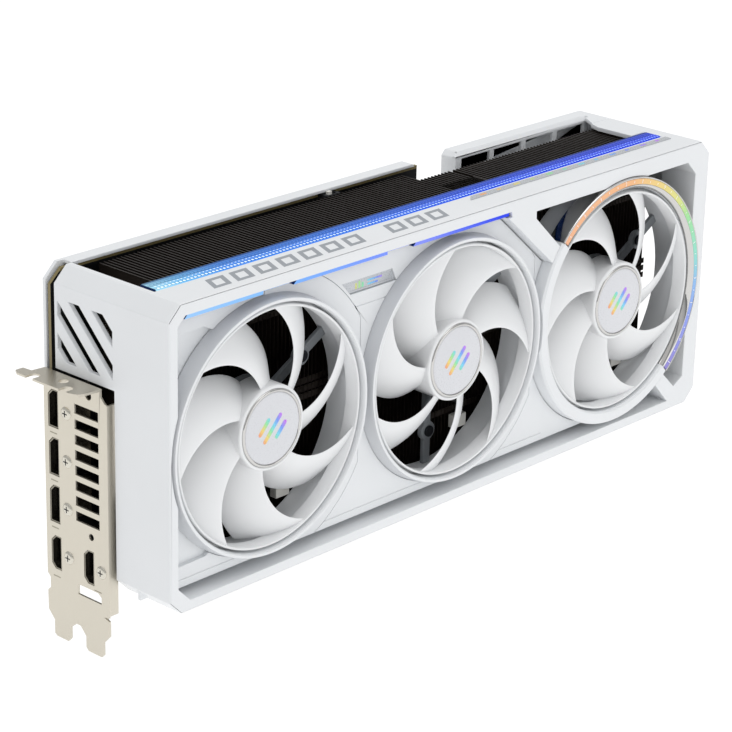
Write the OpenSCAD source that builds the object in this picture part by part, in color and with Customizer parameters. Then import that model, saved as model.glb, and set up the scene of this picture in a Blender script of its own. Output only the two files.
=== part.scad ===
// Triple-fan graphics card with a fourth fan at the rear, drawn standing on its long edge.
// The card is laid out from the shroud: x = 0 at the bracket end, y = 0 at the front rim,
// z = 0 at the top of the bracket's screw tab. place() then moves it so that the origin is
// midway between the two screw notches of that tab.

/* [Shroud] */
// Length of the shroud, from the bracket end to the far end
body_len = 350.9; // [345:0.1:355]
// Thickness of the card, from the front rim to the back cover
body_t = 75.2; // [75:0.1:80]
// Height of the shroud's top above the bracket's tab
top_z = 43.7; // [42:0.1:48]
// Height of the shroud's underside below the bracket's tab
low_z = 89.3; // [88:0.1:92]
// Size of the cut corners
corner = 6.5; // [5:0.1:8]
// Thickness of the shroud's walls
wall = 2.2; // [1.6:0.1:2.6]
// Width of the rim at the bottom and left of the front
rim_w = 4.8; // [4:0.1:6]
// Depth of the sunken front panel below the rim
panel_y = 6; // [4:0.1:8]
// Depth of the sunken corner beside the first fan
groove_y = 8; // [7:0.1:8]

/* [Fans] */
// Distance of the first fan from the bracket end
fan_x = 58.1; // [58:0.1:60]
// Distance between neighbouring front fans
fan_pitch = 114.5; // [114:0.1:115]
// Radius over the tip ring of a front fan
fan_r = 52.6; // [50:0.1:53]
// Radius over the tip ring of the rear fan
rear_fan_r = 46; // [40:0.1:47]
// Radius of a fan's hub
hub_r = 18.6; // [17:0.1:20]
// Number of blades on each fan
blade_n = 7; // [5:1:9]
// Pitch angle of a blade
blade_pitch = 26; // [15:1:30]
// Radius of a fan's shaft
shaft_r = 1.5; // [1:0.1:2]
// Running clearance of a shaft in its bearing
shaft_gap = 0.03; // [0.02:0.01:0.08]

/* [Heatsink] */
// Distance between neighbouring fins
fin_pitch = 3; // [2.5:0.5:4]
// Thickness of a fin
fin_t = 0.6; // [0.4:0.1:0.8]
// Radius of a heat pipe
pipe_r = 3; // [2.5:0.5:3]
// Number of heat pipes
pipe_n = 6; // [4:1:6]

/* [Bracket] */
// Distance between two expansion slots
slot_pitch = 20.32; // [20.32:0.01:20.32]
// Full height of the bracket, from its tab to the tips of its tongues
bracket_h = 120.02; // [120.02:0.01:120.02]
// Width of a screw notch
notch_w = 4.42; // [4.4:0.01:4.5]
// Thickness of the bracket's sheet
sheet = 1; // [0.8:0.1:1.2]
// Distance between neighbouring display sockets
socket_pitch = 21.3; // [21:0.1:22]

/* [Hidden] */
$fn = 72;
// how much fatter a bent rod is at its elbows
elbow = 1.06;

white = "#eceef1";
cool_grey = "#c3c7cc";
steel = "#b9b4a6";
board_black = "#17181a";
fin_bronze = "#3a342e";

// the shroud
fan_z = (top_z - low_z) / 2;
right_rim = 10.3;
top_rim = 8.6;
light_z = 36.4;
front_x1 = body_len - right_rim;
bracket_edge_y = 32.4;
left_wall_y = 68;
shelf_y = 18.5;
return_y = 20;
panel_low = -81.2;
top_gap_x1 = 327.4;
vent_lo = [33.2, 4.4];
vent_hi = [66.4, 31];
vent_step = 14.2;
vent_h = 6.5;

// the ducts and the end ring
duct_r = 53.8;
lip_r = 55.8;
foot_r = 56.6;
flange_r = 66;
end_ring_r = 59.8;
duct_y1 = 21;
arc_from = -49;
arc_to = 139;

// the fan motors
rotor_y = 1;
rotor_depth = 15;
base_y = rotor_y + rotor_depth + 1.5;
base_t = 2;
lead_y = 20;
bearing_r = 3.4;
boss_r = 5.2;
magnet_r = 16.6;
arm_angles = [210, 90, 330];
rear_y = body_t - 3.4;
rear_duct_r = rear_fan_r + 1.4;

// the heatsink
fin_y = [24, 65.4];
rear_fin_y1 = 55.2;
bridge_y1 = 42;
fin_z = [-86.5, 41.2];
main_x = [22, 204];
bridge_x = [206, 227];
rear_x = [227, 336];
pipe_y = 62.4;
rear_pipe_y = 47.5;
pipe_gap = 0.05;
chamber_y = [65.6, 68.6];

// the circuit board
board_y = [70.9, 72.5];
board_x = [0.6, 220.8];
board_top = 41.4;
board_low = -103.8;
finger_low = -111.15;
finger_x = [42, 127.2];
key_x = 54.6;
key_w = 1.9;
gpu = [112, -28];
back_y = [73.4, body_t];
backplate_x1 = 219;
fold_y = 68.2;
rear_low_x0 = 232.5;
rear_cover_x0 = 242.4;
rear_wall_y = 66;

// the bracket
bracket_x = -2.5;
bracket_y = [34.5, 72.9];
tab_x = bracket_x - 11.43;
notch_x = -10.9;
notch_y = 68.3;
origin = [notch_x, notch_y - slot_pitch / 2, 0];
dp_z = -16.4;
dp_size = [6.3, 16.8];
hdmi_size = [6.3, 15.2];
hdmi_z = -81;
socket_y = 67.2;
second_hdmi_y = 46.4;
socket_screws = [[59.1, dp_z], [59.1, dp_z - socket_pitch], [59.1, dp_z - 2 * socket_pitch],
    [58.9, hdmi_z], [38.6, hdmi_z]];
plug_x = [194, 214];
plug_y = 58.6;
switch_x = 160;

// ---- placing and drawing helpers ----

module place() {
    translate([-origin.x, -origin.y, 0]) children();
}

// a flat shape in x and z, given depth from y0 to y1
module slab(y0, y1) {
    translate([0, y1, 0]) rotate([90, 0, 0]) linear_extrude(y1 - y0) children();
}

// a flat shape in y and z, given length from x0 to x1
module rib(x0, x1) {
    translate([x0, 0, 0]) rotate([90, 0, 90]) linear_extrude(x1 - x0) children();
}

module rod_y(x, z, r, y0, y1) {
    translate([x, y1, z]) rotate([90, 0, 0]) cylinder(r = r, h = y1 - y0);
}

module rod_x(y, z, r, x0, x1) {
    translate([x0, y, z]) rotate([0, 90, 0]) cylinder(r = r, h = x1 - x0);
}

module box(lo, hi) {
    translate(lo) cube(hi - lo);
}

module cut_rect(lo, hi, c) {
    polygon([[lo.x + c, lo.y], [hi.x - c, lo.y], [hi.x, lo.y + c], [hi.x, hi.y - c],
        [hi.x - c, hi.y], [lo.x + c, hi.y], [lo.x, hi.y - c], [lo.x, lo.y + c]]);
}

// a round shape about a fan's axis; the profile is [radius, depth behind the rim]
module turned(x, z, profile) {
    translate([x, 0, z]) rotate([-90, 0, 0]) rotate_extrude() polygon(profile);
}

// a bent rod through the given points
module bent_rod(points, r) {
    for (i = [0 : len(points) - 2]) {
        d = points[i + 1] - points[i];
        translate(points[i])
            rotate([0, acos(d.z / norm(d)), atan2(d.y, d.x)])
                cylinder(r = r, h = norm(d), $fn = 24);
    }
    for (i = [1 : len(points) - 2]) translate(points[i]) sphere(r = elbow * r, $fn = 24);
}

function front_fan_x(n) = fan_x + (n - 1) * fan_pitch;
function polar(r, a) = [r * cos(a), r * sin(a)];

// ---- shroud ----

module outline(inset) {
    cut_rect([inset, -low_z + inset], [body_len - inset, top_z - inset], corner);
}

module front_opening() {
    polygon([[rim_w + corner, -low_z + rim_w], [front_x1 - corner, -low_z + rim_w],
        [front_x1, -low_z + rim_w + corner], [front_x1, top_z - top_rim - corner],
        [front_x1 - corner, top_z - top_rim], [206, top_z - top_rim], [205, light_z + 2.1],
        [9, light_z + 2.1], [rim_w, light_z - 2], [rim_w, -low_z + rim_w + corner]]);
}

module upper_strut() {
    polygon([[203, 36], [222.4, 36], [222.6, 31.7], [242.2, 13], [235.6, 7.7], [211, 29.2]]);
}

module lower_strut() {
    polygon([[324.3, -68.6], [318.5, -73.1], [331, -86.4], [343, -86.4], [343, -73.1],
        [340.6, -74.4], [334, -78]]);
}

// the lower, left and right edges of the front opening turn inwards
module front_return() {
    slab(wall, return_y) intersection() {
        difference() {
            offset(delta = 1.6) front_opening();
            front_opening();
        }
        polygon([[0, -low_z], [0, 30], [60, 30], [200, -60], [280, -60], [330, 36],
            [body_len, 36], [body_len, -low_z]]);
    }
    // back wall of the channel below the panel
    slab(return_y - 1, return_y + 0.6) translate([wall / 2, -low_z + wall / 2])
        square([body_len - wall, 8.4]);
}

module ring_clearance(r) {
    for (n = [1, 2]) rod_y(front_fan_x(n), fan_z, foot_r + r, -2, base_y + 10);
    rod_y(front_fan_x(3), fan_z, end_ring_r + r, -2, base_y + 10);
}

module side_vents() {
    for (i = [0 : 3]) {
        c = -11.2 - i * vent_step;
        polygon([[30, 30 + c - vent_h / 2], [70, 70 + c - vent_h / 2],
            [70, 70 + c + vent_h / 2], [30, 30 + c + vent_h / 2]]);
    }
}

module left_vent_cut() {
    rib(-1, 12) intersection() {
        side_vents();
        translate(vent_lo) square(vent_hi - vent_lo);
    }
}

// the bracket's own side of the left wall is open
module bracket_cut() {
    box([-1, bracket_edge_y, -low_z - 1], [15.5, body_t + 1, 0.2]);
}

module end_window() {
    rib(body_len - 12, body_len + 1)
        cut_rect([26, fan_z - 40], [50, fan_z + 34], 4);
}

module bottom_vents() {
    for (i = [0 : 11]) {
        x = 26 + i * 26;
        box([x, 30, -low_z - 1], [x + 18, 60, -low_z + 9]);
    }
}

module shroud_frame() {
    color(white) place() difference() {
        union() {
            difference() {
                slab(0, left_wall_y) outline(0);
                slab(wall, left_wall_y + 1) outline(wall);
                slab(-1, wall + 1) front_opening();
            }
            slab(0, 16) intersection() {
                upper_strut();
                outline(wall / 2);
            }
            slab(0, 16) intersection() {
                lower_strut();
                outline(wall / 2);
            }
            front_return();
        }
        box([9.5, shelf_y, top_z - 9], [body_len - 14, shelf_y + 10.9, top_z + 1]);
        translate([0, 0, top_z - 9]) linear_extrude(10)
            polygon([[9.5, shelf_y + 1], [top_gap_x1, shelf_y + 1], [top_gap_x1, 50],
                [top_gap_x1 + 3, 57], [top_gap_x1 + 3, body_t], [9.5, body_t]]);
        ring_clearance(0.2);
        left_vent_cut();
        bracket_cut();
        end_window();
        bottom_vents();
        box([rear_low_x0 - 0.2, 56, -low_z - 1], [body_len + 1, body_t, top_z + 1]);
    }
}

module panel_bounds() {
    polygon([[rim_w + 0.3, panel_low + 4.2], [rim_w + 0.3, light_z - 2.4], [9, light_z - 0.2],
        [202.6, light_z - 0.2], [202.6, 35.6], [210.6, 28.8], [235, 7.4], [236, fan_z],
        [front_fan_x(3), fan_z], [front_fan_x(3), panel_low], [rim_w + 4.6, panel_low]]);
}

module around_fan(n, r) {
    translate([front_fan_x(n), fan_z]) circle(r = r);
}

// the right half of a duct's flat flange, out to its seam
module flange_area(n, pad) {
    intersection() {
        around_fan(n, flange_r + pad);
        translate([front_fan_x(n) - pad, -100]) square([fan_pitch / 2 + 2 * pad - 0.05, 200]);
    }
}

module panel_shape(r) {
    difference() {
        panel_bounds();
        for (n = [1, 2]) around_fan(n, r);
        around_fan(3, end_ring_r + 0.3);
    }
}

module front_panel() {
    color(white) place() difference() {
        union() {
            slab(panel_y, panel_y + 1.6) difference() {
                panel_shape(foot_r + 0.2);
                for (n = [1, 2]) flange_area(n, 0.2);
            }
            slab(panel_y + 1.6, panel_y + 3.1) panel_shape(lip_r + 0.2);
            box([rim_w + 4.6, panel_y + 1.6, panel_low], [262, return_y - 1.2, panel_low + 1.2]);
        }
        slab(panel_y - 1, groove_y) polygon([[4, -72], [25.6, -71.4], [28.8, -69],
            [29.6, 26], [24.3, 28.6], [4, 28.6]]);
        slab(panel_y - 1, panel_y + 0.3) translate([rim_w, -77.9]) square([235, 0.3]);
        slab(panel_y - 1, panel_y + 2) plaque_outline(0.2);
        slab(panel_y - 1, panel_y + 0.5) translate([112.3, 15.3]) square([21, 0.4]);
    }
}

module duct(n) {
    color(white) place() union() {
        turned(front_fan_x(n), fan_z, [[duct_r, duct_y1], [duct_r, 0.6], [duct_r + 0.6, -0.5],
            [lip_r - 0.3, -0.5], [lip_r, 0.4], [foot_r, panel_y], [foot_r, panel_y + 1.5],
            [lip_r, panel_y + 1.5], [lip_r, duct_y1]]);
        slab(panel_y, panel_y + 1.5) difference() {
            intersection() {
                flange_area(n, 0);
                panel_bounds();
            }
            around_fan(n, foot_r - 0.4);
            around_fan(3, end_ring_r + 0.3);
        }
    }
}

// the part of the end ring's circle that carries the trim
module trim_sector(pad) {
    slab(-3, duct_y1 + 1) translate([front_fan_x(3), fan_z])
        polygon([[0, 0], polar(90, arc_from - pad), polar(90, arc_from + 45),
            polar(90, (arc_from + arc_to) / 2), polar(90, arc_to - 45), polar(90, arc_to + pad)]);
}

module duct_3() {
    x = front_fan_x(3);
    color(white) place() difference() {
        union() {
            turned(x, fan_z, [[duct_r, duct_y1], [duct_r, 2.2], [lip_r, 2.2], [lip_r, duct_y1]]);
            difference() {
                turned(x, fan_z, [[duct_r, 2.2], [duct_r, 0.2], [duct_r + 0.7, -0.9],
                    [end_ring_r - 1, -0.9], [end_ring_r, 0.1], [end_ring_r, 9.4],
                    [lip_r, 13.4], [lip_r, 2.2]]);
                trim_sector(0.3);
            }
        }
        rod_y(front_fan_x(2), fan_z, foot_r + 0.2, -3, duct_y1 + 1);
    }
}

module ring_trim() {
    x = front_fan_x(3);
    color("#c9ccd1") place() intersection() {
        turned(x, fan_z, [[duct_r + 0.2, 1.9], [duct_r + 0.2, 1.2], [duct_r + 2, -0.9],
            [duct_r + 2.4, -0.9], [duct_r + 2.4, -0.1], [end_ring_r - 0.9, -0.1],
            [end_ring_r - 0.9, -0.9], [end_ring_r - 0.4, -0.9], [end_ring_r, -0.5],
            [end_ring_r, 8], [lip_r + 0.2, 8], [lip_r + 0.2, 1.9]]);
        trim_sector(0);
    }
}

module ring_band() {
    x = front_fan_x(3);
    color("#a8d8c8") place() intersection() {
        turned(x, fan_z, [[duct_r + 2.45, -0.15], [duct_r + 2.45, -0.8],
            [end_ring_r - 0.95, -0.8], [end_ring_r - 0.95, -0.15]]);
        trim_sector(-0.4);
    }
}

// ---- lights and trim ----

module light_bar() {
    color("#6fb4ff") place() rib(11, body_len - 14.4)
        polygon([[shelf_y + 0.4, top_z - 7], [shelf_y + 0.4, top_z - 0.4],
            [shelf_y + 1.2, top_z + 0.3], [shelf_y + 9.4, top_z + 0.3],
            [shelf_y + 10.4, top_z - 0.8], [shelf_y + 10.4, top_z - 7],
            [shelf_y + 9, top_z - 7], [shelf_y + 9, top_z - 2], [shelf_y + 1.8, top_z - 2],
            [shelf_y + 1.8, top_z - 7]]);
}

module light_bar_board() {
    color("#d8dcd8") place() union() {
        box([13, shelf_y + 2.2, top_z - 6.6], [body_len - 16.4, shelf_y + 8.6, top_z - 5.4]);
        for (i = [0 : 31])
            box([18 + i * 10, shelf_y + 3.6, top_z - 5.5],
                [21 + i * 10, shelf_y + 7.2, top_z - 4.2]);
    }
}

module light_segment(x0, x1) {
    slab(1.2, 4) polygon([[x0 - 2, light_z + 0.1], [x0, light_z + 2], [x1, light_z + 2],
        [x1, light_z + 0.1]]);
}

module edge_light() {
    color("#7fc0ff") place() union() {
        light_segment(11.4, 52.7);
        light_segment(72, 126);
        light_segment(144, 204.6);
        slab(4, 5.6) translate([9.6, light_z + 0.1]) square([195, 1.8]);
    }
}

module top_inlay() {
    color("#dfe3ea") place()
        translate([0, 0, top_z + 0.02]) linear_extrude(0.4)
            polygon([[196, 16.6], [192, 13], [body_len - 14, 13], [body_len - 14, 16.6]]);
}

module plaque_outline(pad) {
    offset(delta = pad) polygon([[104, 27.2], [109, 21.8], [137, 21.8], [134.4, 27.2]]);
}

module plaque() {
    color(cool_grey) place() difference() {
        slab(panel_y + 0.8, panel_y + 1.9) plaque_outline(0);
        slab(panel_y, panel_y + 0.95) plaque_outline(-1);
    }
}

// ---- heatsink ----

function pipe_z(i) = -77 + i * 90 / (pipe_n - 1);

module comb(x0, x1) {
    count = floor((x1 - x0 - fin_t) / fin_pitch);
    union() {
        translate([x0, fin_z.x]) square([count * fin_pitch + fin_t, 1]);
        for (i = [0 : count])
            translate([x0 + i * fin_pitch, fin_z.x]) square([fin_t, fin_z.y - fin_z.x]);
    }
}

module pipe_bores(y, x0, x1) {
    for (i = [0 : pipe_n - 1]) rod_x(y, pipe_z(i), pipe_r + pipe_gap, x0 - 1, x1 + 1);
}

// the fins' upper front edge is cut back behind the light bar
module light_bar_notch() {
    box([main_x.x - 1, fin_y.x - 1, top_z - 7.5], [rear_x.y + 2, shelf_y + 10.9, top_z]);
}

module fin_stack_main() {
    color(fin_bronze) place() difference() {
        slab(fin_y.x, fin_y.y) comb(main_x.x, main_x.y);
        pipe_bores(pipe_y, main_x.x, main_x.y);
        light_bar_notch();
        box([plug_x.x - 3, plug_y - 0.6, 16], [main_x.y + 1, 70, 45]);
    }
}

module fin_stack_rear() {
    color(fin_bronze) place() difference() {
        union() {
            slab(fin_y.x, bridge_y1) comb(bridge_x.x, bridge_x.y + 2 * fin_t);
            slab(fin_y.x, rear_fin_y1) comb(rear_x.x, rear_x.y);
            // above the heat pipes the bridge is as deep as the rest
            slab(fin_y.x, rear_fin_y1) intersection() {
                comb(bridge_x.x, bridge_x.y + 2 * fin_t);
                translate([bridge_x.x - 1, 18]) square([30, 40]);
            }
        }
        pipe_bores(rear_pipe_y, rear_x.x - 2, rear_x.y);
        light_bar_notch();
    }
}

module vapor_chamber() {
    color("#9a9a98") place() slab(chamber_y.x, chamber_y.y)
        cut_rect([gpu.x - 56, gpu.y - 46], [gpu.x + 56, gpu.y + 46], 5);
}

module heat_pipes() {
    color("#b0aca6") place()
        for (i = [0 : pipe_n - 1]) {
            bent_rod([[main_x.x - 4, pipe_y, pipe_z(i)], [207, pipe_y, pipe_z(i)],
                [225, rear_pipe_y, pipe_z(i)], [rear_x.y + 4, rear_pipe_y, pipe_z(i)]], pipe_r);
        }
}

// ---- circuit board ----

module board_shape() {
    difference() {
        polygon([[board_x.x, -88], [board_x.x, top_z - corner - 1.6], [corner + 0.4, board_top],
            [board_x.y, board_top], [board_x.y, -88], [196, board_low], [finger_x.y, board_low],
            [finger_x.y, finger_low + 1.2], [finger_x.y - 1.2, finger_low],
            [finger_x.x + 1.2, finger_low], [finger_x.x, finger_low + 1.2],
            [finger_x.x, board_low], [36, board_low], [24, -88]]);
        translate([key_x - key_w / 2, finger_low - 1]) square([key_w, 8]);
    }
}

module pcb() {
    color(board_black) place() difference() {
        slab(board_y.x, board_y.y) board_shape();
        for (sx = [-1, 1], sz = [-1, 1])
            rod_y(gpu.x + sx * 34, gpu.y + sz * 34, 1.7, board_y.x - 1, board_y.y + 1);
    }
}

module contact_row(y0, y1) {
    for (i = [0 : 81]) {
        x = finger_x.x + 1.2 + i + (i > 10 ? 2 : 0);
        box([x - 0.35, y0, finger_low + 0.8], [x + 0.35, y1, finger_low + 5]);
    }
}

module edge_contacts() {
    color("gold") place() union() {
        contact_row(board_y.x - 0.06, board_y.x);
        contact_row(board_y.y, board_y.y + 0.06);
    }
}

module on_board(x, z, w, h, t) {
    box([x - w / 2, board_y.x - t, z - h / 2], [x + w / 2, board_y.x, z + h / 2]);
}

module gpu_package() {
    color("#22402c") place() on_board(gpu.x, gpu.y, 56, 56, 1.5);
}

module gpu_die() {
    color("#5b6068") place()
        box([gpu.x - 15.4, board_y.x - 2.2, gpu.y - 12.2],
            [gpu.x + 15.4, board_y.x - 1.5, gpu.y + 12.2]);
}

memory_places = concat(
    [for (s = [-1, 1], i = [-2 : 2]) [gpu.x + s * 43, gpu.y + i * 16.5]],
    [for (s = [-1, 1], i = [-1 : 1]) [gpu.x + i * 17, gpu.y + s * 40]]);

module memory_chips() {
    color("#26282b") place()
        for (p = memory_places) on_board(p.x, p.y, 12, 14, 1.1);
}

module thermal_pads() {
    color("#7f8c99") place()
        for (p = memory_places)
            box([p.x - 6, chamber_y.y, p.y - 7], [p.x + 6, board_y.x - 1.1, p.y + 7]);
}

module inductors() {
    color("#4a4c50") place()
        for (s = [0, 1], i = [0 : 10]) on_board(s == 0 ? 40 : 186, -82 + i * 9, 7.4, 7.4, 3.6);
}

module power_stages() {
    color("#2c2e31") place()
        for (s = [0, 1], i = [0 : 10]) on_board(s == 0 ? 49 : 176, -82 + i * 9, 5, 6, 1);
}

module capacitors() {
    color("#8d9096") place()
        for (s = [0, 1], i = [0 : 8])
            rod_y(s == 0 ? 31 : 197, fan_z - 58 + i * 9, 3.1, board_y.x - 4.6, board_y.x);
}

// ---- power and display sockets ----

module power_socket() {
    color("#1b1c1e") place() difference() {
        box([plug_x.x, plug_y, 21], [plug_x.y, board_y.x, 37.5]);
        box([plug_x.x + 0.8, plug_y + 0.8, 25], [plug_x.y - 0.8, plug_y + 9, 38]);
    }
}

module power_pins() {
    color("#c9b36a") place()
        for (i = [0 : 5], j = [0, 1])
            translate([plug_x.x + 2.5 + i * 3, plug_y + 3.4 + j * 3, 25]) linear_extrude(9)
                square(0.9, center = true);
}

module socket_outline(size, cut) {
    polygon([[-size.x / 2, -size.y / 2], [size.x / 2 - cut, -size.y / 2],
        [size.x / 2, -size.y / 2 + cut], [size.x / 2, size.y / 2 - cut],
        [size.x / 2 - cut, size.y / 2], [-size.x / 2, size.y / 2]]);
}

module dp_outline(size) {
    polygon([[-size.x / 2, -size.y / 2], [size.x / 2, -size.y / 2],
        [size.x / 2, size.y / 2 - 2.4], [size.x / 2 - 2.4, size.y / 2],
        [-size.x / 2, size.y / 2]]);
}

module at_dp() {
    for (i = [0 : 2]) translate([0, socket_y, dp_z - i * socket_pitch]) children();
}

module at_hdmi() {
    for (y = [socket_y - 0.4, second_hdmi_y]) translate([0, y, hdmi_z]) children();
}

module dp_shells() {
    color("#8f8b80") place() at_dp() difference() {
        rib(bracket_x + 0.2, 15) dp_outline(dp_size - [0.4, 0.4]);
        rib(bracket_x - 1, 13.5) dp_outline(dp_size - [1.2, 1.2]);
    }
}

module dp_tongues() {
    color("#151515") place() at_dp() box([2, -0.8, -6.4], [13.4, 0.8, 6.4]);
}

module hdmi_shells() {
    color("#8f8b80") place() at_hdmi() difference() {
        rib(bracket_x + 0.2, 12) socket_outline(hdmi_size - [0.4, 0.4], 2.4);
        rib(bracket_x - 1, 10.5) socket_outline(hdmi_size - [1.2, 1.2], 2.2);
    }
}

module hdmi_tongues() {
    color("#151515") place() at_hdmi() box([1.5, -0.7, -5.4], [10.4, 0.7, 5.4]);
}

// ---- bracket ----

module plate_outline() {
    lo = -bracket_h;
    polygon([[38, 0], [38, -3.2], [35.6, -5.6], [bracket_y.x, -6], [bracket_y.x, -100.6],
        [37, -100.9], [bracket_y.x - 0.3, -102], [bracket_y.x - 0.3, -108.8], [38, -112.9],
        [38, lo + 1.4], [39.4, lo], [47.6, lo], [49, lo + 1.4], [49, -113.6], [52.4, -110],
        [55, -110], [58.6, -112.8], [58.6, lo + 2], [60.4, lo], [67.6, lo], [69, lo + 1],
        [69, -112.8], [bracket_y.y - 0.2, -109], [bracket_y.y, -100],
        [71.1, -98.5], [71.1, -93.6], [bracket_y.y, -92], [bracket_y.y, 0]]);
}

module tab_outline() {
    difference() {
        polygon([[bracket_x + sheet, 38], [-9, 38.6], [-12.4, 39.6], [tab_x, 44],
            [tab_x, 76], [-12.4, 78.5], [-8.4, 78.5], [-8, 73.6], [bracket_x + sheet, 72.9]]);
        for (i = [0, 1]) {
            translate([notch_x, notch_y - i * slot_pitch]) circle(d = notch_w);
            translate([tab_x - 1, notch_y - i * slot_pitch - notch_w / 2])
                square([notch_x - tab_x + 1, notch_w]);
        }
        translate([-6.6, 55.3]) circle(r = 2.05);
    }
}

module bracket_openings() {
    for (i = [0 : 2]) translate([socket_y, dp_z - i * socket_pitch]) dp_outline(dp_size);
    for (y = [socket_y - 0.4, second_hdmi_y])
        translate([y, hdmi_z]) socket_outline(hdmi_size, 2.4);
    for (i = [0 : 7])
        translate([39.5, -14.7 - i * 6.8]) square([14.5, 4.2]);
    polygon([[39, -95.6], [53.4, -95.6], [53.4, -91.1], [41, -91.1], [39, -92.6]]);
    for (p = socket_screws) translate(p) circle(r = 1.6);
    translate([44.7, -67]) circle(r = 1.5);
    translate([45.3, -4.8]) circle(r = 1.8);
}

module io_bracket() {
    color(steel) place() union() {
        rib(bracket_x, bracket_x + sheet) difference() {
            plate_outline();
            bracket_openings();
        }
        translate([0, 0, -sheet]) linear_extrude(sheet) tab_outline();
        box([bracket_x, bracket_y.x - 0.4, -99.6], [2.6, bracket_y.x + 0.6, -6.2]);
    }
}

module bracket_screws() {
    color("#cfcabd") place()
        for (p = socket_screws) difference() {
            union() {
                rod_x(p.x, p.y, 3, bracket_x - 0.9, bracket_x);
                rod_x(p.x, p.y, 1.5, bracket_x - 0.1, 5);
            }
            box([bracket_x - 1, p.x - 0.3, p.y - 1.5], [bracket_x - 0.4, p.x + 0.3, p.y + 1.5]);
            box([bracket_x - 1, p.x - 1.5, p.y - 0.3], [bracket_x - 0.4, p.x + 1.5, p.y + 0.3]);
        }
}

// ---- back ----

module backplate() {
    color(white) place() difference() {
        union() {
            slab(back_y.x, back_y.y) polygon([[0, -88], [0, top_z - corner], [corner, top_z],
                [backplate_x1 - 4, top_z], [backplate_x1, top_z - 4], [backplate_x1, 30],
                [rear_low_x0 - 0.4, 30], [rear_low_x0 - 0.4, -low_z], [196, -102],
                [34, -102], [22, -88]]);
            slab(fold_y, back_y.y) polygon([[9.8, top_z - 1.6], [backplate_x1 - 2.4, top_z - 1.6],
                [backplate_x1 - 4, top_z], [9.8, top_z]]);
        }
        for (i = [0 : 9]) {
            slab(back_y.y - 0.5, back_y.y + 1)
                polygon([[24 + i * 6, -80], [26 + i * 6, -80], [46 + i * 6, -60],
                    [44 + i * 6, -60]]);
        }
        for (sx = [-1, 1], sz = [-1, 1])
            rod_y(gpu.x + sx * 34, gpu.y + sz * 34, 3.2, back_y.x - 1, back_y.y + 1);
    }
}

module cover_outline(inset) {
    polygon([[rear_low_x0 + inset, inset - low_z], [body_len - corner, inset - low_z],
        [body_len - inset, corner - low_z], [body_len - inset, top_z - corner],
        [body_len - corner, top_z - inset], [rear_cover_x0 + 2.4, top_z - inset],
        [rear_cover_x0 + inset, top_z - 2.4], [rear_cover_x0 + inset, 30 - inset],
        [rear_low_x0 + inset, 30 - inset]]);
}

// the cover's top stands back behind the fins and has four windows in its front wall
module rear_fan_cover() {
    x = front_fan_x(3);
    color(white) place() difference() {
        union() {
            difference() {
                slab(56.2, body_t) cover_outline(0);
                slab(55, body_t - 2) cover_outline(2);
                translate([0, 0, top_z - 10]) linear_extrude(11)
                    polygon([[rear_cover_x0 - 1, 55], [top_gap_x1 + 2.7, 55],
                        [337, rear_wall_y], [rear_cover_x0 - 1, rear_wall_y]]);
            }
            box([rear_cover_x0, rear_wall_y, top_z - 11], [338, rear_wall_y + 1.8, top_z - 2]);
            translate([rear_cover_x0 + 2, 0, 0]) rotate([90, 0, 90]) linear_extrude(94)
                polygon([[rear_wall_y, top_z - 2.1], [rear_wall_y + 1.9, top_z],
                    [rear_wall_y + 4, top_z - 1], [rear_wall_y + 1.8, top_z - 3]]);
            rod_y(x, fan_z, rear_duct_r + 2, 56.2, body_t - 0.5);
        }
        rod_y(x, fan_z, rear_duct_r, 50, body_t + 1);
        slab(rear_wall_y - 1, rear_wall_y + 2)
            for (i = [0 : 3]) translate([246.5 + i * 23.3, top_z - 10]) square([20, 6.6]);
        rib(rear_cover_x0 - 1, 339)
            polygon([[rear_wall_y - 1, top_z - 3.1], [rear_wall_y + 3, top_z + 1],
                [rear_wall_y - 1, top_z + 1]]);
        for (sx = [-1, 1], sz = [-1, 1])
            rod_y(x + sx * 50, fan_z + sz * 50, 1.6, body_t - 8, body_t + 1);
    }
}

module screw_y(x, z, y0, y1, head_y0, head_y1, r) {
    rod_y(x, z, r, y0, y1);
    rod_y(x, z, r * 2, head_y0, head_y1);
}

module cover_screws() {
    x = front_fan_x(3);
    color("#3a3c40") place()
        for (sx = [-1, 1], sz = [-1, 1])
            screw_y(x + sx * 50, fan_z + sz * 50, body_t - 7, body_t, body_t, body_t + 1, 1.5);
}

// sprung clamp that pulls the cooler onto the chip, with its four screws
module die_clamp() {
    color("#8b8d90") place() union() {
        for (s = [-1, 1]) translate([gpu.x, back_y.x - 0.3, gpu.y]) rotate([90, s * 45, 0])
            translate([-50, -4, 0]) cube([100, 8, 0.5]);
        for (sx = [-1, 1], sz = [-1, 1]) {
            rod_y(gpu.x + sx * 34, gpu.y + sz * 34, 1.5, chamber_y.y + 0.2, back_y.x);
            rod_y(gpu.x + sx * 34, gpu.y + sz * 34, 3, back_y.x - 0.4, back_y.y - 0.5);
        }
    }
}

// ---- fans ----

// puts a fan's parts at front fan n, or turned round at the rear as fan 4
module at_fan(n) {
    if (n < 4) translate([front_fan_x(n), rotor_y, fan_z]) rotate([-90, 0, 0]) children();
    else translate([front_fan_x(3), rear_y, fan_z]) rotate([90, 0, 0]) children();
}

function tip_r(n) = n < 4 ? fan_r : rear_fan_r;
function deep(n) = n < 4 ? rotor_depth : 12.5;
function swirl(n) = n == 2 ? -1 : 1;

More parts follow.
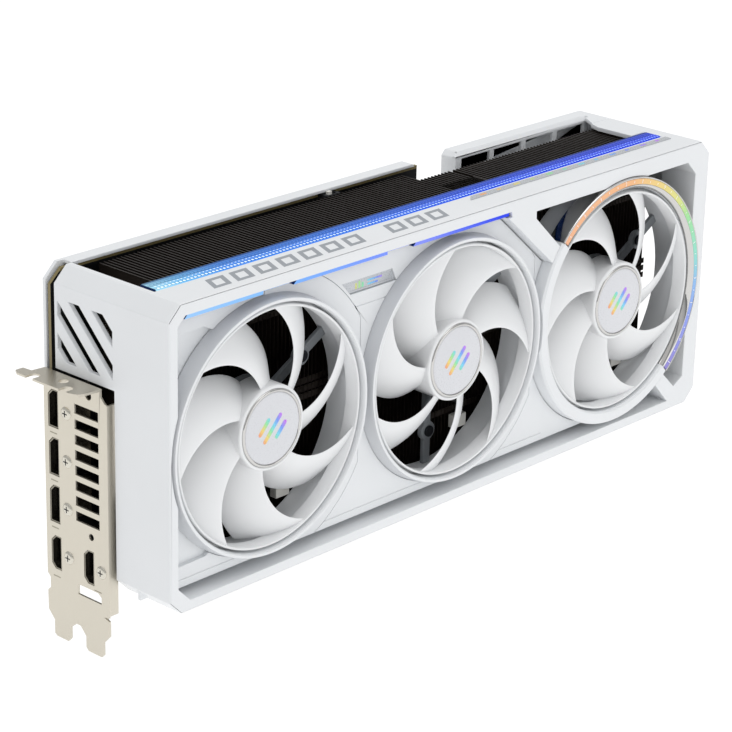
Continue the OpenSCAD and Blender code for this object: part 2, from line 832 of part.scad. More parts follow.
// one blade: a swept plate pitched about its own radius, trimmed to the hub and the ring
module blade(r, depth, hand) {
    steps = 8;
    function back(t) = hand * (5 + 16 * t * t);
    function chord(t) = 15 + 10 * t;
    intersection() {
        translate([0, 0, depth / 2 + 0.3]) rotate([hand * blade_pitch, 0, 0])
            linear_extrude(1.6, center = true)
                polygon(concat(
                    [for (i = [0 : steps]) let (t = i / steps)
                        [hub_r - 1 + t * (r - hub_r), -back(t) - chord(t) / 2]],
                    [for (i = [steps : -1 : 0]) let (t = i / steps)
                        [hub_r - 1 + t * (r - hub_r), -back(t) + chord(t) / 2]]));
        difference() {
            translate([0, 0, 1.2]) cylinder(r = r - 0.5, h = depth - 1.6);
            cylinder(r = hub_r - 0.6, h = depth + 1);
        }
    }
}

module rotor(n) {
    r = tip_r(n);
    depth = deep(n);
    color(white) place() at_fan(n) union() {
        difference() {
            cylinder(r = hub_r, h = depth - 0.5);
            translate([0, 0, -1]) cylinder(r = hub_r - 1.6, h = 1.9);
            translate([0, 0, 2.6]) cylinder(r = magnet_r, h = depth);
            translate([0, 0, -1]) cylinder(r = shaft_r + 0.01, h = depth);
        }
        difference() {
            cylinder(r = r, h = depth * 0.5);
            translate([0, 0, -1]) cylinder(r = r - 1.1, h = depth);
        }
        for (i = [0 : blade_n - 1]) rotate(i * 360 / blade_n) blade(r, depth, swirl(n));
        translate([0, 0, 4]) difference() {
            cylinder(r = magnet_r - 0.1, h = depth - 6);
            translate([0, 0, -1]) cylinder(r = magnet_r - 2, h = depth);
        }
    }
}

module hub_cap(n) {
    color("#d5d6da") place() at_fan(n)
        translate([0, 0, -0.4]) cylinder(r = n < 4 ? hub_r - 3 : hub_r - 1.7, h = 1.2);
}

module hub_trim(n) {
    color("#c9ccd1") place() at_fan(n) difference() {
        translate([0, 0, -0.5]) cylinder(r = hub_r - 1.65, h = 1.3);
        translate([0, 0, -1]) cylinder(r = hub_r - 2.95, h = 2.5);
    }
}

module shaft(n) {
    color("silver") place() at_fan(n) translate([0, 0, 0.9]) cylinder(r = shaft_r, h = deep(n) - 0.2);
}

module fan_base(n) {
    depth = deep(n);
    z0 = depth + 1.1;
    reach = (n < 4 ? duct_r : rear_duct_r) - 0.1;
    at_fan(n) difference() {
        union() {
            translate([0, 0, z0]) cylinder(r = hub_r, h = base_t);
            translate([0, 0, 4.6]) cylinder(r = boss_r, h = z0 - 4);
            for (a = arm_angles) rotate(a) {
                translate([hub_r - 2, -2.2, z0]) cube([reach - hub_r + 2, 4.4, base_t]);
                translate([38, 0, z0 - 0.6]) cylinder(r = 4.4, h = base_t + 0.6);
            }
        }
        translate([0, 0, 4]) cylinder(r = bearing_r + 0.01, h = depth + 1);
        for (a = arm_angles) rotate(a) translate([38, 0, z0 - 2]) cylinder(r = 1.6, h = 6);
    }
}

module fan_bases() {
    color(cool_grey) place() for (n = [1 : 4]) fan_base(n);
}

module fan_bearings() {
    color("#b08d57") place() for (n = [1 : 4]) at_fan(n) difference() {
        translate([0, 0, 4.7]) cylinder(r = bearing_r, h = deep(n) - 1);
        translate([0, 0, 4]) cylinder(r = shaft_r + shaft_gap, h = deep(n) - 2.6);
    }
}

module motor_stators() {
    color("#9a5a2c") place() for (n = [1 : 4]) at_fan(n) translate([0, 0, 5.2]) difference() {
        union() {
            cylinder(r = boss_r + 2.4, h = deep(n) - 7);
            for (a = [0 : 40 : 320]) rotate(a) {
                translate([6, -1.3, 0.6]) cube([7.4, 2.6, deep(n) - 8.2]);
                translate([8, -2.2, 0]) cube([3.6, 4.4, deep(n) - 7]);
            }
        }
        translate([0, 0, -1]) cylinder(r = boss_r + 0.05, h = deep(n));
    }
}

// each motor's lead runs along its lower arm to a plug in front of the fins
module fan_leads() {
    color("#1a1a1a") place() for (n = [1 : 3]) {
        x = front_fan_x(n) + 8;
        bent_rod([[x, lead_y, fan_z - 16], [x + 4, lead_y, fan_z - 26],
            [x + 14, lead_y, fan_z - 30], [x + 18, lead_y, fan_z - 37.6]], 0.9);
    }
}

module fan_plugs() {
    color("#eeeeea") place() for (n = [1 : 3]) {
        x = front_fan_x(n) + 26;
        box([x - 4, base_y + 2.6, fan_z - 44.4], [x + 4, fin_y.x - 0.1, fan_z - 38.2]);
    }
}

module fan_screws() {
    color("#55585c") place() for (n = [1 : 4]) at_fan(n) {
        z0 = deep(n) + 0.5;
        for (a = arm_angles) rotate(a) translate([38, 0, 0]) {
            translate([0, 0, z0 - 1]) cylinder(r = 2.6, h = 1);
            translate([0, 0, z0 - 0.5]) cylinder(r = 1.5, h = 4);
        }
    }
}

// ---- start-up mode switch ----

module switch_body() {
    color("#2a2c2f") place() difference() {
        box([switch_x - 4.5, 65.6, board_top - 3], [switch_x + 4.5, board_y.x, board_top]);
        box([switch_x - 2.7, 66.1, board_top - 1.2], [switch_x + 2.7, 67.9, board_top + 1]);
    }
}

module switch_slider() {
    color("#f0f0ee") place()
        box([switch_x - 2.6, 66.2, board_top - 1.1], [switch_x - 0.4, 67.8, board_top + 1.4]);
}

module duct_1() { duct(1); }
module duct_2() { duct(2); }
module rotor_1() { rotor(1); }
module rotor_2() { rotor(2); }
module rotor_3() { rotor(3); }
module rotor_4() { rotor(4); }
module hub_cap_1() { hub_cap(1); }
module hub_cap_2() { hub_cap(2); }
module hub_cap_3() { hub_cap(3); }
module hub_cap_4() { hub_cap(4); }
module hub_trim_1() { hub_trim(1); }
module hub_trim_2() { hub_trim(2); }
module hub_trim_3() { hub_trim(3); }
module shaft_1() { shaft(1); }
module shaft_2() { shaft(2); }
module shaft_3() { shaft(3); }
module shaft_4() { shaft(4); }

shroud_frame();
front_panel();
duct_1();
duct_2();
duct_3();
ring_trim();
ring_band();
light_bar();
light_bar_board();
edge_light();
top_inlay();
plaque();
fin_stack_main();
fin_stack_rear();
vapor_chamber();
heat_pipes();
pcb();
edge_contacts();
gpu_package();
gpu_die();
memory_chips();
thermal_pads();
inductors();
power_stages();
capacitors();
power_socket();
power_pins();
dp_shells();
dp_tongues();
hdmi_shells();
hdmi_tongues();
io_bracket();
bracket_screws();
backplate();
rear_fan_cover();
cover_screws();
die_clamp();
fan_bases();
fan_bearings();
motor_stators();
fan_leads();
fan_plugs();
fan_screws();
switch_body();
switch_slider();
rotor_1();
rotor_2();
rotor_3();
rotor_4();
hub_cap_1();
hub_cap_2();
hub_cap_3();
hub_cap_4();
hub_trim_1();
hub_trim_2();
hub_trim_3();
shaft_1();
shaft_2();
shaft_3();
shaft_4();
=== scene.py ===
# %% [markdown]
# # A white graphics card with three front fans
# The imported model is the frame: every length and position below comes from its boxes, in metres.
# The card stands on its long edge. +X runs along it from the bracket, the front fans face -Y, and
# +Z points up to the lit edge.

# %% Load the frame
import math

import bmesh
import bpy
from mathutils import Matrix, Vector


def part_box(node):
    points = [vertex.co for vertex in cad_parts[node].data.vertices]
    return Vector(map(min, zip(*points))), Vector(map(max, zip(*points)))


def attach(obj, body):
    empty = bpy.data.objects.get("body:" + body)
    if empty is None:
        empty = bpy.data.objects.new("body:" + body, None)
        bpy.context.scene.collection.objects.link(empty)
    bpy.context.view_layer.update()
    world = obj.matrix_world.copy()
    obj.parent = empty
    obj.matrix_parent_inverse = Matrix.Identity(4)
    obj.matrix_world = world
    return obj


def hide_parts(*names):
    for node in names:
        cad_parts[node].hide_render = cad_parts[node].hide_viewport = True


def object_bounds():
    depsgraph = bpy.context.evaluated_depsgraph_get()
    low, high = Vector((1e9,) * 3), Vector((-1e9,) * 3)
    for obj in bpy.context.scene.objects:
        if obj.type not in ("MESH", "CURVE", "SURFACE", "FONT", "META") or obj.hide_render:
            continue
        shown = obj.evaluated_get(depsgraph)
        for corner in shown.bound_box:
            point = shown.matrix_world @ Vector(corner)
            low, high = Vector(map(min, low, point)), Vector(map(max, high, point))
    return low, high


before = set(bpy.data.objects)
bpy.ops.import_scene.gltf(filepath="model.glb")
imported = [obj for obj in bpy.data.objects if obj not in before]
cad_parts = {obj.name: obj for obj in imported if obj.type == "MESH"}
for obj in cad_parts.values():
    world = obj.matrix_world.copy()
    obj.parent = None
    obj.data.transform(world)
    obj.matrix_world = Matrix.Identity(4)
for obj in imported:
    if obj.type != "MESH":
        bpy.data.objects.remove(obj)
cad_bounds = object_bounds()

# %% [markdown]
# ## Places
# Lengths on the card are easiest to think of in millimetres from three of its own faces: the
# bracket end of the shroud, the front rim, and the top of the bracket's tab. One function turns
# such a place into the frame's metres.

# %% Places on the card
MM = 0.001
TOP_Z = 43.7
SHELL_LO, SHELL_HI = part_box("shroud_frame")


def spot(x, y, z):
    """A place on the card, in mm from the bracket end, the front rim and the bracket's tab."""
    return Vector((SHELL_LO.x + x * MM, SHELL_LO.y + y * MM, SHELL_HI.z + (z - TOP_Z) * MM))


def centre_of(name):
    """The middle of a CAD node's box, in mm as spot() takes it."""
    lo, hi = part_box(name)
    mid = (lo + hi) / 2 - spot(0, 0, 0)
    return mid / MM


FANS = {n: centre_of(f"hub_cap_{n}") for n in (1, 2, 3, 4)}
for number, mid in FANS.items():
    print(f"fan {number}: {mid.x:.1f} mm along the card, {mid.z:.1f} mm from the tab")

# %% [markdown]
# ## The view
# A long lens keeps the far end of the card almost as tall as the near end. The camera looks at
# the bracket end, from the front and a little above.

# %% Camera
VIEW_FROM = Vector((-0.65096, -0.77453, 0.39077))
VIEW_ALONG = Vector((0.68645, 0.63478, -0.35474)).normalized()
VIEW_ROLL = math.radians(1.31)
level = VIEW_ALONG.cross(Vector((0, 0, 1))).normalized()
above = level.cross(VIEW_ALONG)
right = level * math.cos(VIEW_ROLL) + above * math.sin(VIEW_ROLL)
upward = right.cross(VIEW_ALONG)
lens = bpy.data.cameras.new("camera")
lens.lens, lens.sensor_width = 131.556, 36
lens.clip_start, lens.clip_end = 0.05, 20
camera = bpy.data.objects.new("camera", lens)
camera.matrix_world = Matrix.Translation(VIEW_FROM) @ Matrix(
    (right, upward, -VIEW_ALONG)).transposed().to_4x4()
bpy.context.scene.collection.objects.link(camera)
bpy.context.scene.camera = camera
bpy.context.scene.view_settings.view_transform = "Standard"
print(f"camera {VIEW_FROM.length:.2f} m away with a {lens.lens:.0f} mm lens")

# %% [markdown]
# ## Small helpers for nodes
# A material or a Geometry Nodes tree is a handful of nodes with values and links. One function
# adds any node, sets it up and wires its inputs, and one turns a web colour into linear light.


# %% Node helpers
def linear(web):
    """A colour as Blender's shaders take it, from its sRGB hex value."""
    channels = [int(web[i:i + 2], 16) / 255 for i in (1, 3, 5)]
    return [c / 12.92 if c <= 0.04045 else ((c + 0.055) / 1.055) ** 2.4
            for c in channels] + [1.0]


def add(tree, kind, inputs=None, **settings):
    """Adds a node; inputs gives each named or numbered socket a value or another node's output."""
    made = tree.nodes.new(kind)
    for key, value in settings.items():
        setattr(made, key, value)
    for key, value in (inputs or {}).items():
        if isinstance(value, bpy.types.NodeSocket):
            tree.links.new(value, made.inputs[key])
        else:
            made.inputs[key].default_value = value
    return made


def ramp(tree, factor, stops):
    """A colour band: stops is a list of (place from 0 to 1, sRGB hex)."""
    made = add(tree, "ShaderNodeValToRGB", {"Fac": factor})
    band = made.color_ramp
    while len(band.elements) < len(stops):
        band.elements.new(1.0)
    for element, (place, web) in zip(band.elements, stops):
        element.position = place
        element.color = linear(web)
    return made.outputs["Color"]


def math_node(tree, operation, first, second=0.0):
    return add(tree, "ShaderNodeMath", {0: first, 1: second}, operation=operation).outputs[0]


# %% [markdown]
# ## A base for every finish
# Almost nothing is one flat colour: moulded plastic has a fine grain and a little unevenness in
# its gloss, rolled metal has streaks. The base below gives each material that: a fine grain as
# bump, a slow drift in colour and roughness, and patterns read in millimetres on the piece.


# %% The base finish
def millimetres(tree):
    """Object coordinates in millimetres."""
    where = add(tree, "ShaderNodeTexCoord")
    scaled = add(tree, "ShaderNodeVectorMath", {0: where.outputs["Object"]}, operation="SCALE")
    scaled.inputs["Scale"].default_value = 1 / MM
    return scaled.outputs["Vector"]


def base_finish(name, web, rough, metal=0.0, ior=1.5, grain=0.35, slope=0.03, drift=0.03,
                stretch=(1, 1, 1)):
    """A Principled material. grain is the size of its texture in mm, slope how steep that is."""
    material = bpy.data.materials.new(name)
    material.use_nodes = True
    tree = material.node_tree
    shader = tree.nodes["Principled BSDF"]
    shader.inputs["Metallic"].default_value = metal
    shader.inputs["IOR"].default_value = ior
    place = millimetres(tree)
    streaked = add(tree, "ShaderNodeMapping",
                   {"Vector": place, "Scale": stretch}).outputs["Vector"]
    fine = add(tree, "ShaderNodeTexNoise", {"Vector": streaked, "Scale": 1 / grain, "Detail": 2.0})
    slow = add(tree, "ShaderNodeTexNoise", {"Vector": place, "Scale": 0.03, "Detail": 3.0})
    colour = linear(web)
    darker = [c * (1 - 2 * drift) for c in colour[:3]] + [1]
    tint = add(tree, "ShaderNodeMixRGB", {"Fac": slow.outputs["Fac"], "Color1": colour,
               "Color2": darker})
    tree.links.new(tint.outputs["Color"], shader.inputs["Base Color"])
    gloss = add(tree, "ShaderNodeMapRange", {"Value": fine.outputs["Fac"], "From Min": 0.3,
                "From Max": 0.7, "To Min": max(rough - 0.05, 0.02), "To Max": rough + 0.05})
    tree.links.new(gloss.outputs["Result"], shader.inputs["Roughness"])
    bump = add(tree, "ShaderNodeBump", {"Height": fine.outputs["Fac"], "Strength": 1.0,
               "Distance": grain * slope * MM})
    tree.links.new(bump.outputs["Normal"], shader.inputs["Normal"])
    return material, tree, shader, tint.outputs["Color"]


def plain_finish(*args, **kwargs):
    return base_finish(*args, **kwargs)[0]


# moulded ABS, spark-eroded mould: a matte white with a soft sheen
shell_white = plain_finish("moulded_white_abs", "#eef0f2", 0.42, ior=1.53, grain=0.4, slope=0.02)
# moulded PBT, polished mould: whiter and a little glossier, so the blades' curves show
fan_white = plain_finish("moulded_white_pbt", "#f2f3f4", 0.36, ior=1.53, grain=0.6, slope=0.01)
# the outer walls of two ducts get a greyer copy of the white plastic: painted shade, which outlines
# their rims
painted_wall_shade = plain_finish("white_abs_painted_wall_shade", "#d6d8db", 0.4, ior=1.53, grain=0.4, slope=0.02)
mount_grey = plain_finish("moulded_grey_nylon", "#8c9094", 0.5, grain=0.5)
# chrome-plated ABS: mirror-bright, takes its tones from the room
chrome = plain_finish("chrome_plate", "#d0cfcd", 0.07, metal=1.0, grain=2.0, slope=0.002)
# electroplated nickel-black copper fins: dark, with a brown glint
fin_bronze = plain_finish("blackened_copper_fin", "#3a322c", 0.4, metal=0.8, grain=0.5,
                          stretch=(1, 0.2, 0.05), drift=0.12)
pipe_metal = plain_finish("nickel_plated_pipe", "#9d968c", 0.25, metal=1.0, grain=0.8)
# brushed stainless steel: fine upright lines and a warm tint
bracket_steel = plain_finish("brushed_stainless_steel", "#d6d0c2", 0.34, metal=0.75, grain=0.25,
                             slope=0.06, stretch=(1, 1, 0.06), drift=0.02)
screw_steel = plain_finish("zinc_plated_screw", "#d8d4c8", 0.28, metal=1.0, grain=0.5)
dark_screw = plain_finish("black_oxide_screw", "#3c3e42", 0.35, metal=0.9, grain=0.4)
socket_shell = plain_finish("stamped_nickel_shell", "#9c978a", 0.3, metal=1.0, grain=0.4)
socket_black = plain_finish("moulded_black_lcp", "#161618", 0.45, grain=0.4)
chip_black = plain_finish("epoxy_moulded_chip", "#232427", 0.55, grain=0.3, slope=0.06)
gold = plain_finish("gold_plated_contact", "#d9b45a", 0.22, metal=1.0, grain=0.6)
package_green = plain_finish("package_laminate", "#274a34", 0.4, grain=0.5)
silicon = plain_finish("polished_silicon", "#5a6068", 0.12, metal=0.6, grain=1.0, slope=0.004)
pad_grey = plain_finish("silicone_thermal_pad", "#8791a0", 0.7, grain=0.5, slope=0.08)
can_metal = plain_finish("aluminium_can", "#9a9da2", 0.3, metal=1.0, grain=0.5)
clamp_steel = plain_finish("spring_steel", "#8d9094", 0.3, metal=1.0, grain=0.4)
bronze = plain_finish("sintered_bronze", "#a8865a", 0.45, metal=1.0, grain=0.3, slope=0.08)
copper = plain_finish("enamelled_copper_wire", "#9a5628", 0.3, metal=0.9, grain=0.3, slope=0.1,
                      stretch=(0.2, 3, 0.2))
lead_black = plain_finish("pvc_lead", "#1b1b1c", 0.5, grain=0.5)
plug_white = plain_finish("moulded_nylon_plug", "#e9e7e0", 0.45, grain=0.5)
shaft_steel = plain_finish("ground_steel_shaft", "#b9bcc0", 0.15, metal=1.0, grain=0.3)
badge_grey = plain_finish("satin_badge_plate", "#c9ccd0", 0.3, metal=0.35, grain=0.4)
chip_silver = plain_finish("satin_hub_disc", "#dfe0e4", 0.3, metal=0.1, grain=0.5, slope=0.01)
print(len(bpy.data.materials), "materials")

# %% [markdown]
# ## The circuit board's two faces
# A board is a tan glass-fibre core between two skins of black solder mask. The core shows on the
# sawn edge, so the colour follows the way each face points, and a bare line of it runs along the
# top of the front face, where the mask stops short.

# %% Board material
board_mask, tree, shader, tint = base_finish("black_solder_mask", "#101113", 0.4, grain=0.6)
facing = add(tree, "ShaderNodeSeparateXYZ",
             {0: add(tree, "ShaderNodeTexCoord").outputs["Normal"]}).outputs["Y"]
is_edge = math_node(tree, "LESS_THAN", math_node(tree, "ABSOLUTE", facing), 0.5)
board_height = add(tree, "ShaderNodeSeparateXYZ",
                   {0: add(tree, "ShaderNodeTexCoord").outputs["Object"]}).outputs["Z"]
is_bare = math_node(tree, "GREATER_THAN", board_height, spot(0, 0, 39.9).z)
is_edge = math_node(tree, "MAXIMUM", is_edge, is_bare)
edge_mix = add(tree, "ShaderNodeMixRGB", {"Fac": is_edge, "Color1": tint,
               "Color2": linear("#857850")})
tree.links.new(edge_mix.outputs["Color"], shader.inputs["Base Color"])

# %% [markdown]
# ## Light and colour that run along the card
# The lit parts fade from an icy cyan at the bracket to a deep blue at the far end, and the
# printed accents run through the rainbow. Both are a colour band read along one direction.


# %% Gradients
def along(tree, axis, start, end):
    """0 at start and 1 at end, in the frame's metres, along one axis."""
    where = add(tree, "ShaderNodeSeparateXYZ",
                {0: add(tree, "ShaderNodeTexCoord").outputs["Object"]}).outputs[axis]
    return add(tree, "ShaderNodeMapRange",
               {"Value": where, "From Min": start, "From Max": end}).outputs["Result"]


RAINBOW = [(0.0, "#f2997a"), (0.2, "#f3d67a"), (0.4, "#93e7a4"), (0.58, "#7fd6f2"),
           (0.76, "#7c9bf5"), (1.0, "#d47af0")]


def glowing(name, stops, strength, outward, pattern=None):
    """Clear polycarbonate lit from within. Only the faces that point outward give off light."""
    material, tree, shader, _ = base_finish(name, "#1f3a72", 0.25, ior=1.5, grain=0.8)
    colour = ramp(tree, along(tree, "X", spot(11, 0, 0).x, spot(337, 0, 0).x), stops)
    if pattern:
        across = ramp(tree, along(tree, "Y", spot(0, 18.9, 0).y, spot(0, 28.9, 0).y), pattern)
        colour = add(tree, "ShaderNodeMixRGB", {"Fac": 1.0, "Color1": colour, "Color2": across},
                     blend_type="MULTIPLY").outputs["Color"]
    facing = add(tree, "ShaderNodeVectorMath", {
        0: add(tree, "ShaderNodeTexCoord").outputs["Normal"], 1: outward},
        operation="DOT_PRODUCT").outputs["Value"]
    lit = add(tree, "ShaderNodeMixRGB", {
        "Fac": math_node(tree, "GREATER_THAN", facing, 0.45), "Color1": (0, 0, 0, 1),
        "Color2": colour})
    tree.links.new(lit.outputs["Color"], shader.inputs["Emission Color"])
    shader.inputs["Emission Strength"].default_value = strength
    shader.inputs["Specular IOR Level"].default_value = 0.15
    return material


UPWARD, FORWARD = (0.0, 0.0, 1.0), (0.0, -1.0, 0.0)
bar_light = glowing("lit_polycarbonate_bar", [
    (0.0, "#b8f4ff"), (0.045, "#7ccefb"), (0.12, "#4596f5"), (0.35, "#2c7af0"),
    (0.55, "#1a52ee"), (0.8, "#0c34ea"), (1.0, "#1a34ea")], 1.0, UPWARD, [
    (0.0, "#ffffff"), (0.12, "#c8c8c8"), (0.3, "#e8e8e8"), (0.5, "#b0b0b0"), (0.62, "#d8d8d8"),
    (0.8, "#8a8a8a"), (1.0, "#4a4a4a")])
dot_light = glowing("lit_prism_dots", [
    (0.0, "#f2ffff"), (0.3, "#c8deff"), (0.7, "#8fb0ff"), (1.0, "#7c98ff")], 1.3, UPWARD)
slot_light = glowing("lit_slot_diffuser", [
    (0.0, "#a5d6ff"), (0.12, "#8fcaff"), (0.2, "#82b8ff"), (0.33, "#7f9cff"), (0.42, "#8f98ff"),
    (0.5, "#5a6cf8"), (0.58, "#1c2cf0"), (1.0, "#1c2cf0")], 0.85, FORWARD)


def rainbow(name, start, end):
    """Colour-shift foil, printed: its hue drifts along the card, from start to end in mm."""
    material, tree, shader, _ = base_finish(name, "#ffffff", 0.3, metal=0.2, grain=0.6)
    sweep = along(tree, "X", spot(start, 0, 0).x, spot(end, 0, 0).x)
    tree.links.new(ramp(tree, sweep, RAINBOW), shader.inputs["Base Color"])
    return material


inlay_foil = rainbow("rainbow_inlay_foil", 192, 337)
badge_foil = rainbow("rainbow_badge_foil", 106, 132)
hub_foil, tree, shader, _ = base_finish("rainbow_hub_foil", "#ffffff", 0.3, metal=0.15, grain=0.6)
unwrapped = add(tree, "ShaderNodeSeparateXYZ",
                {0: add(tree, "ShaderNodeTexCoord").outputs["UV"]}).outputs["X"]
tree.links.new(ramp(tree, unwrapped, RAINBOW), shader.inputs["Base Color"])
print_grey = plain_finish("pad_printed_grey", "#9da2a8", 0.45, grain=0.5)
etched = plain_finish("laser_etched_steel", "#a59f8e", 0.5, metal=0.5, grain=0.3)
mark_white = plain_finish("printed_white_mark", "#f6f6f8", 0.4, grain=0.6)

# the band on the third duct: one rainbow sweep round the fan's axis, between these angles
TRIM_FROM, TRIM_TO = -49.0, 139.0
band_foil, tree, shader, _ = base_finish("rainbow_ring_foil", "#ffffff", 0.22, metal=0.15,
                                         grain=1.0, slope=0.004)
ring_mid = spot(FANS[3].x, 0, FANS[3].z)
centred = add(tree, "ShaderNodeVectorMath", {0: add(tree, "ShaderNodeTexCoord").outputs["Object"],
              1: ring_mid}, operation="SUBTRACT").outputs["Vector"]
parts = add(tree, "ShaderNodeSeparateXYZ", {0: centred})
turn = math_node(tree, "ARCTAN2", parts.outputs["Z"], parts.outputs["X"])
sweep = add(tree, "ShaderNodeMapRange", {"Value": turn, "From Min": math.radians(TRIM_TO),
            "From Max": math.radians(TRIM_FROM)}).outputs["Result"]
tree.links.new(ramp(tree, sweep, [
    (0.0, "#f7b78d"), (0.28, "#f6bb86"), (0.4, "#f3d883"), (0.5, "#dfe58a"), (0.56, "#a3e79c"),
    (0.68, "#93e3cf"), (0.76, "#8fbdf0"), (0.86, "#8f9fee"), (1.0, "#9084d4")]),
    shader.inputs["Base Color"])

# %% [markdown]
# ## Light, floor and surroundings
# A white card in a white room needs soft light from everywhere and a few darker places for the
# chrome to mirror. The world is white for lighting, and only reflections see grey bands in it.

# %% World, lamps and floor
scene = bpy.context.scene
scene.world = bpy.data.worlds.new("white_studio")
scene.world.use_nodes = True
tree = scene.world.node_tree
tree.nodes.clear()
ray = add(tree, "ShaderNodeLightPath")
sky = add(tree, "ShaderNodeSeparateXYZ",
          {0: add(tree, "ShaderNodeTexCoord").outputs["Generated"]})
height = add(tree, "ShaderNodeMapRange", {"Value": sky.outputs["Z"], "From Min": -1.0})
mirrored = ramp(tree, height.outputs["Result"], [
    (0.0, "#b8babc"), (0.42, "#c6c8ca"), (0.47, "#5a5c5f"), (0.5, "#77797c"), (0.56, "#e4e6e8"),
    (0.68, "#ffffff"), (0.74, "#8c8e91"), (0.8, "#ffffff"), (1.0, "#ffffff")])
soft = ramp(tree, height.outputs["Result"], [
    (0.0, "#e9eaec"), (0.5, "#eef0f2"), (1.0, "#ffffff")])
room = add(tree, "ShaderNodeMixRGB", {"Fac": ray.outputs["Is Glossy Ray"], "Color1": soft,
           "Color2": mirrored})
seen = add(tree, "ShaderNodeMixRGB", {"Fac": ray.outputs["Is Camera Ray"],
           "Color1": room.outputs["Color"], "Color2": (1, 1, 1, 1)})
strength = add(tree, "ShaderNodeMapRange", {"Value": ray.outputs["Is Camera Ray"],
               "To Min": 0.7, "To Max": 1.0})
back = add(tree, "ShaderNodeBackground", {"Color": seen.outputs["Color"],
           "Strength": strength.outputs["Result"]})
add(tree, "ShaderNodeOutputWorld", {"Surface": back.outputs["Background"]})


def lamp(name, place, target, size, watts):
    """A square soft box of that size in metres."""
    light = bpy.data.lights.new(name, "AREA")
    light.size, light.energy = size, watts
    holder = bpy.data.objects.new(name, light)
    look = (target - place).to_track_quat("-Z", "Y")
    holder.matrix_world = Matrix.Translation(place) @ look.to_matrix().to_4x4()
    scene.collection.objects.link(holder)


middle = spot(175, 37, -20)
lamp("overhead_box", middle + Vector((0.1, -0.1, 1.3)), middle, 1.0, 5.9)
lamp("front_box", middle + Vector((0.5, -1.6, 0.2)), middle, 1.0, 2.5)

floor_finish, tree, shader, _ = base_finish("lit_white_table", "#5a5a5a", 0.8, grain=2.0)
shader.inputs["Emission Color"].default_value = (1, 1, 1, 1)
shader.inputs["Emission Strength"].default_value = 1.0
LOWEST = cad_bounds[0][2]
FLOOR_HALF, FLOOR_GAP = 6.0, 0.0005
floor_mesh = bpy.data.meshes.new("floor")
floor_mesh.from_pydata([(x * FLOOR_HALF, y * FLOOR_HALF, LOWEST - FLOOR_GAP) for x, y in
                        ((-1, -1), (1, -1), (1, 1), (-1, 1))], [], [(0, 1, 2, 3)])
floor_mesh.materials.append(floor_finish)
floor = bpy.data.objects.new("floor", floor_mesh)
scene.collection.objects.link(floor)
print(f"floor at {LOWEST:.4f} m")

# %% [markdown]
# ## Keeping a mesh, and softening a moulded part
# No moulded or stamped edge is perfectly sharp, and the thin bright line along each edge is what
# makes a part look real. A CAD node is never changed, so a copy is cleaned, given a small rounded
# bevel, and its normals are weighted so that flat faces stay flat.


# %% Mesh helpers
def keep(name, mesh, body, *nodes, slot=None):
    """Names a finished mesh, rides it on a body, and lets it stand for CAD nodes."""
    piece = bpy.data.objects.new(name, mesh)
    mesh.name = name
    scene.collection.objects.link(piece)
    if nodes:
        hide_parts(*nodes)
    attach(piece, body)
    return piece


def baked(piece):
    """The mesh a piece has once its modifiers are worked out; the helper object is removed."""
    graph = bpy.context.evaluated_depsgraph_get()
    mesh = bpy.data.meshes.new_from_object(piece.evaluated_get(graph))
    bpy.data.objects.remove(piece)
    return mesh


FLANGE_DEPTH = 0.012


def softened(node, material, width, front_edge=0.0):
    """A bevelled copy of a CAD node's mesh; front_edge is a wider bevel round its outer front."""
    work = bmesh.new()
    work.from_mesh(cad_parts[node].data)
    bmesh.ops.remove_doubles(work, verts=work.verts, dist=2e-6)
    bmesh.ops.dissolve_limit(work, angle_limit=math.radians(0.6), verts=work.verts,
                             edges=work.edges, delimit={"NORMAL"})
    if front_edge:
        lo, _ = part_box(node)
        rim = [e for e in work.edges
               if all(abs(v.co.y - lo.y) < 1e-5 for v in e.verts)
               and any(f.normal.y > -0.5 and f.calc_center_median().y > lo.y + FLANGE_DEPTH
                       for f in e.link_faces)]
        bmesh.ops.bevel(work, geom=rim, offset=front_edge * MM, segments=3, profile=0.5,
                        affect="EDGES", clamp_overlap=False)
    mesh = bpy.data.meshes.new(node)
    work.to_mesh(mesh)
    work.free()
    mesh.materials.clear()
    mesh.materials.append(material)
    mesh.shade_smooth()
    piece = bpy.data.objects.new(node, mesh)
    scene.collection.objects.link(piece)
    bevel = piece.modifiers.new("edges", "BEVEL")
    bevel.width, bevel.segments = width * MM, 2
    bevel.limit_method, bevel.angle_limit = "ANGLE", math.radians(30)
    bevel.use_clamp_overlap = False
    weights = piece.modifiers.new("normals", "WEIGHTED_NORMAL")
    weights.mode, weights.weight, weights.keep_sharp = "FACE_AREA", 50, False
    return baked(piece)


def turned(profile, place, material, segments=192, start=0.0, sweep=360.0):
    """Revolves a closed profile of (radius, depth) with place(radius, degrees, depth)."""
    work = bmesh.new()
    whole = sweep >= 360
    stations = segments if whole else segments + 1
    rings = [[work.verts.new(place(r, start + sweep * k / segments, d)) for r, d in profile]
             for k in range(stations)]
    for k in range(segments):
        one, two = rings[k], rings[(k + 1) % stations]
        for i in range(len(profile)):
            j = (i + 1) % len(profile)
            work.faces.new((one[i], one[j], two[j], two[i]))
    if not whole:
        work.faces.new(rings[0])
        work.faces.new(list(reversed(rings[-1])))
    bmesh.ops.remove_doubles(work, verts=work.verts, dist=1e-7)
    bmesh.ops.recalc_face_normals(work, faces=work.faces)
    mesh = bpy.data.meshes.new("turned")
    work.to_mesh(mesh)
    work.free()
    mesh.materials.append(material)
    mesh.shade_smooth()
    mesh.set_sharp_from_angle(angle=math.radians(40))
    return mesh


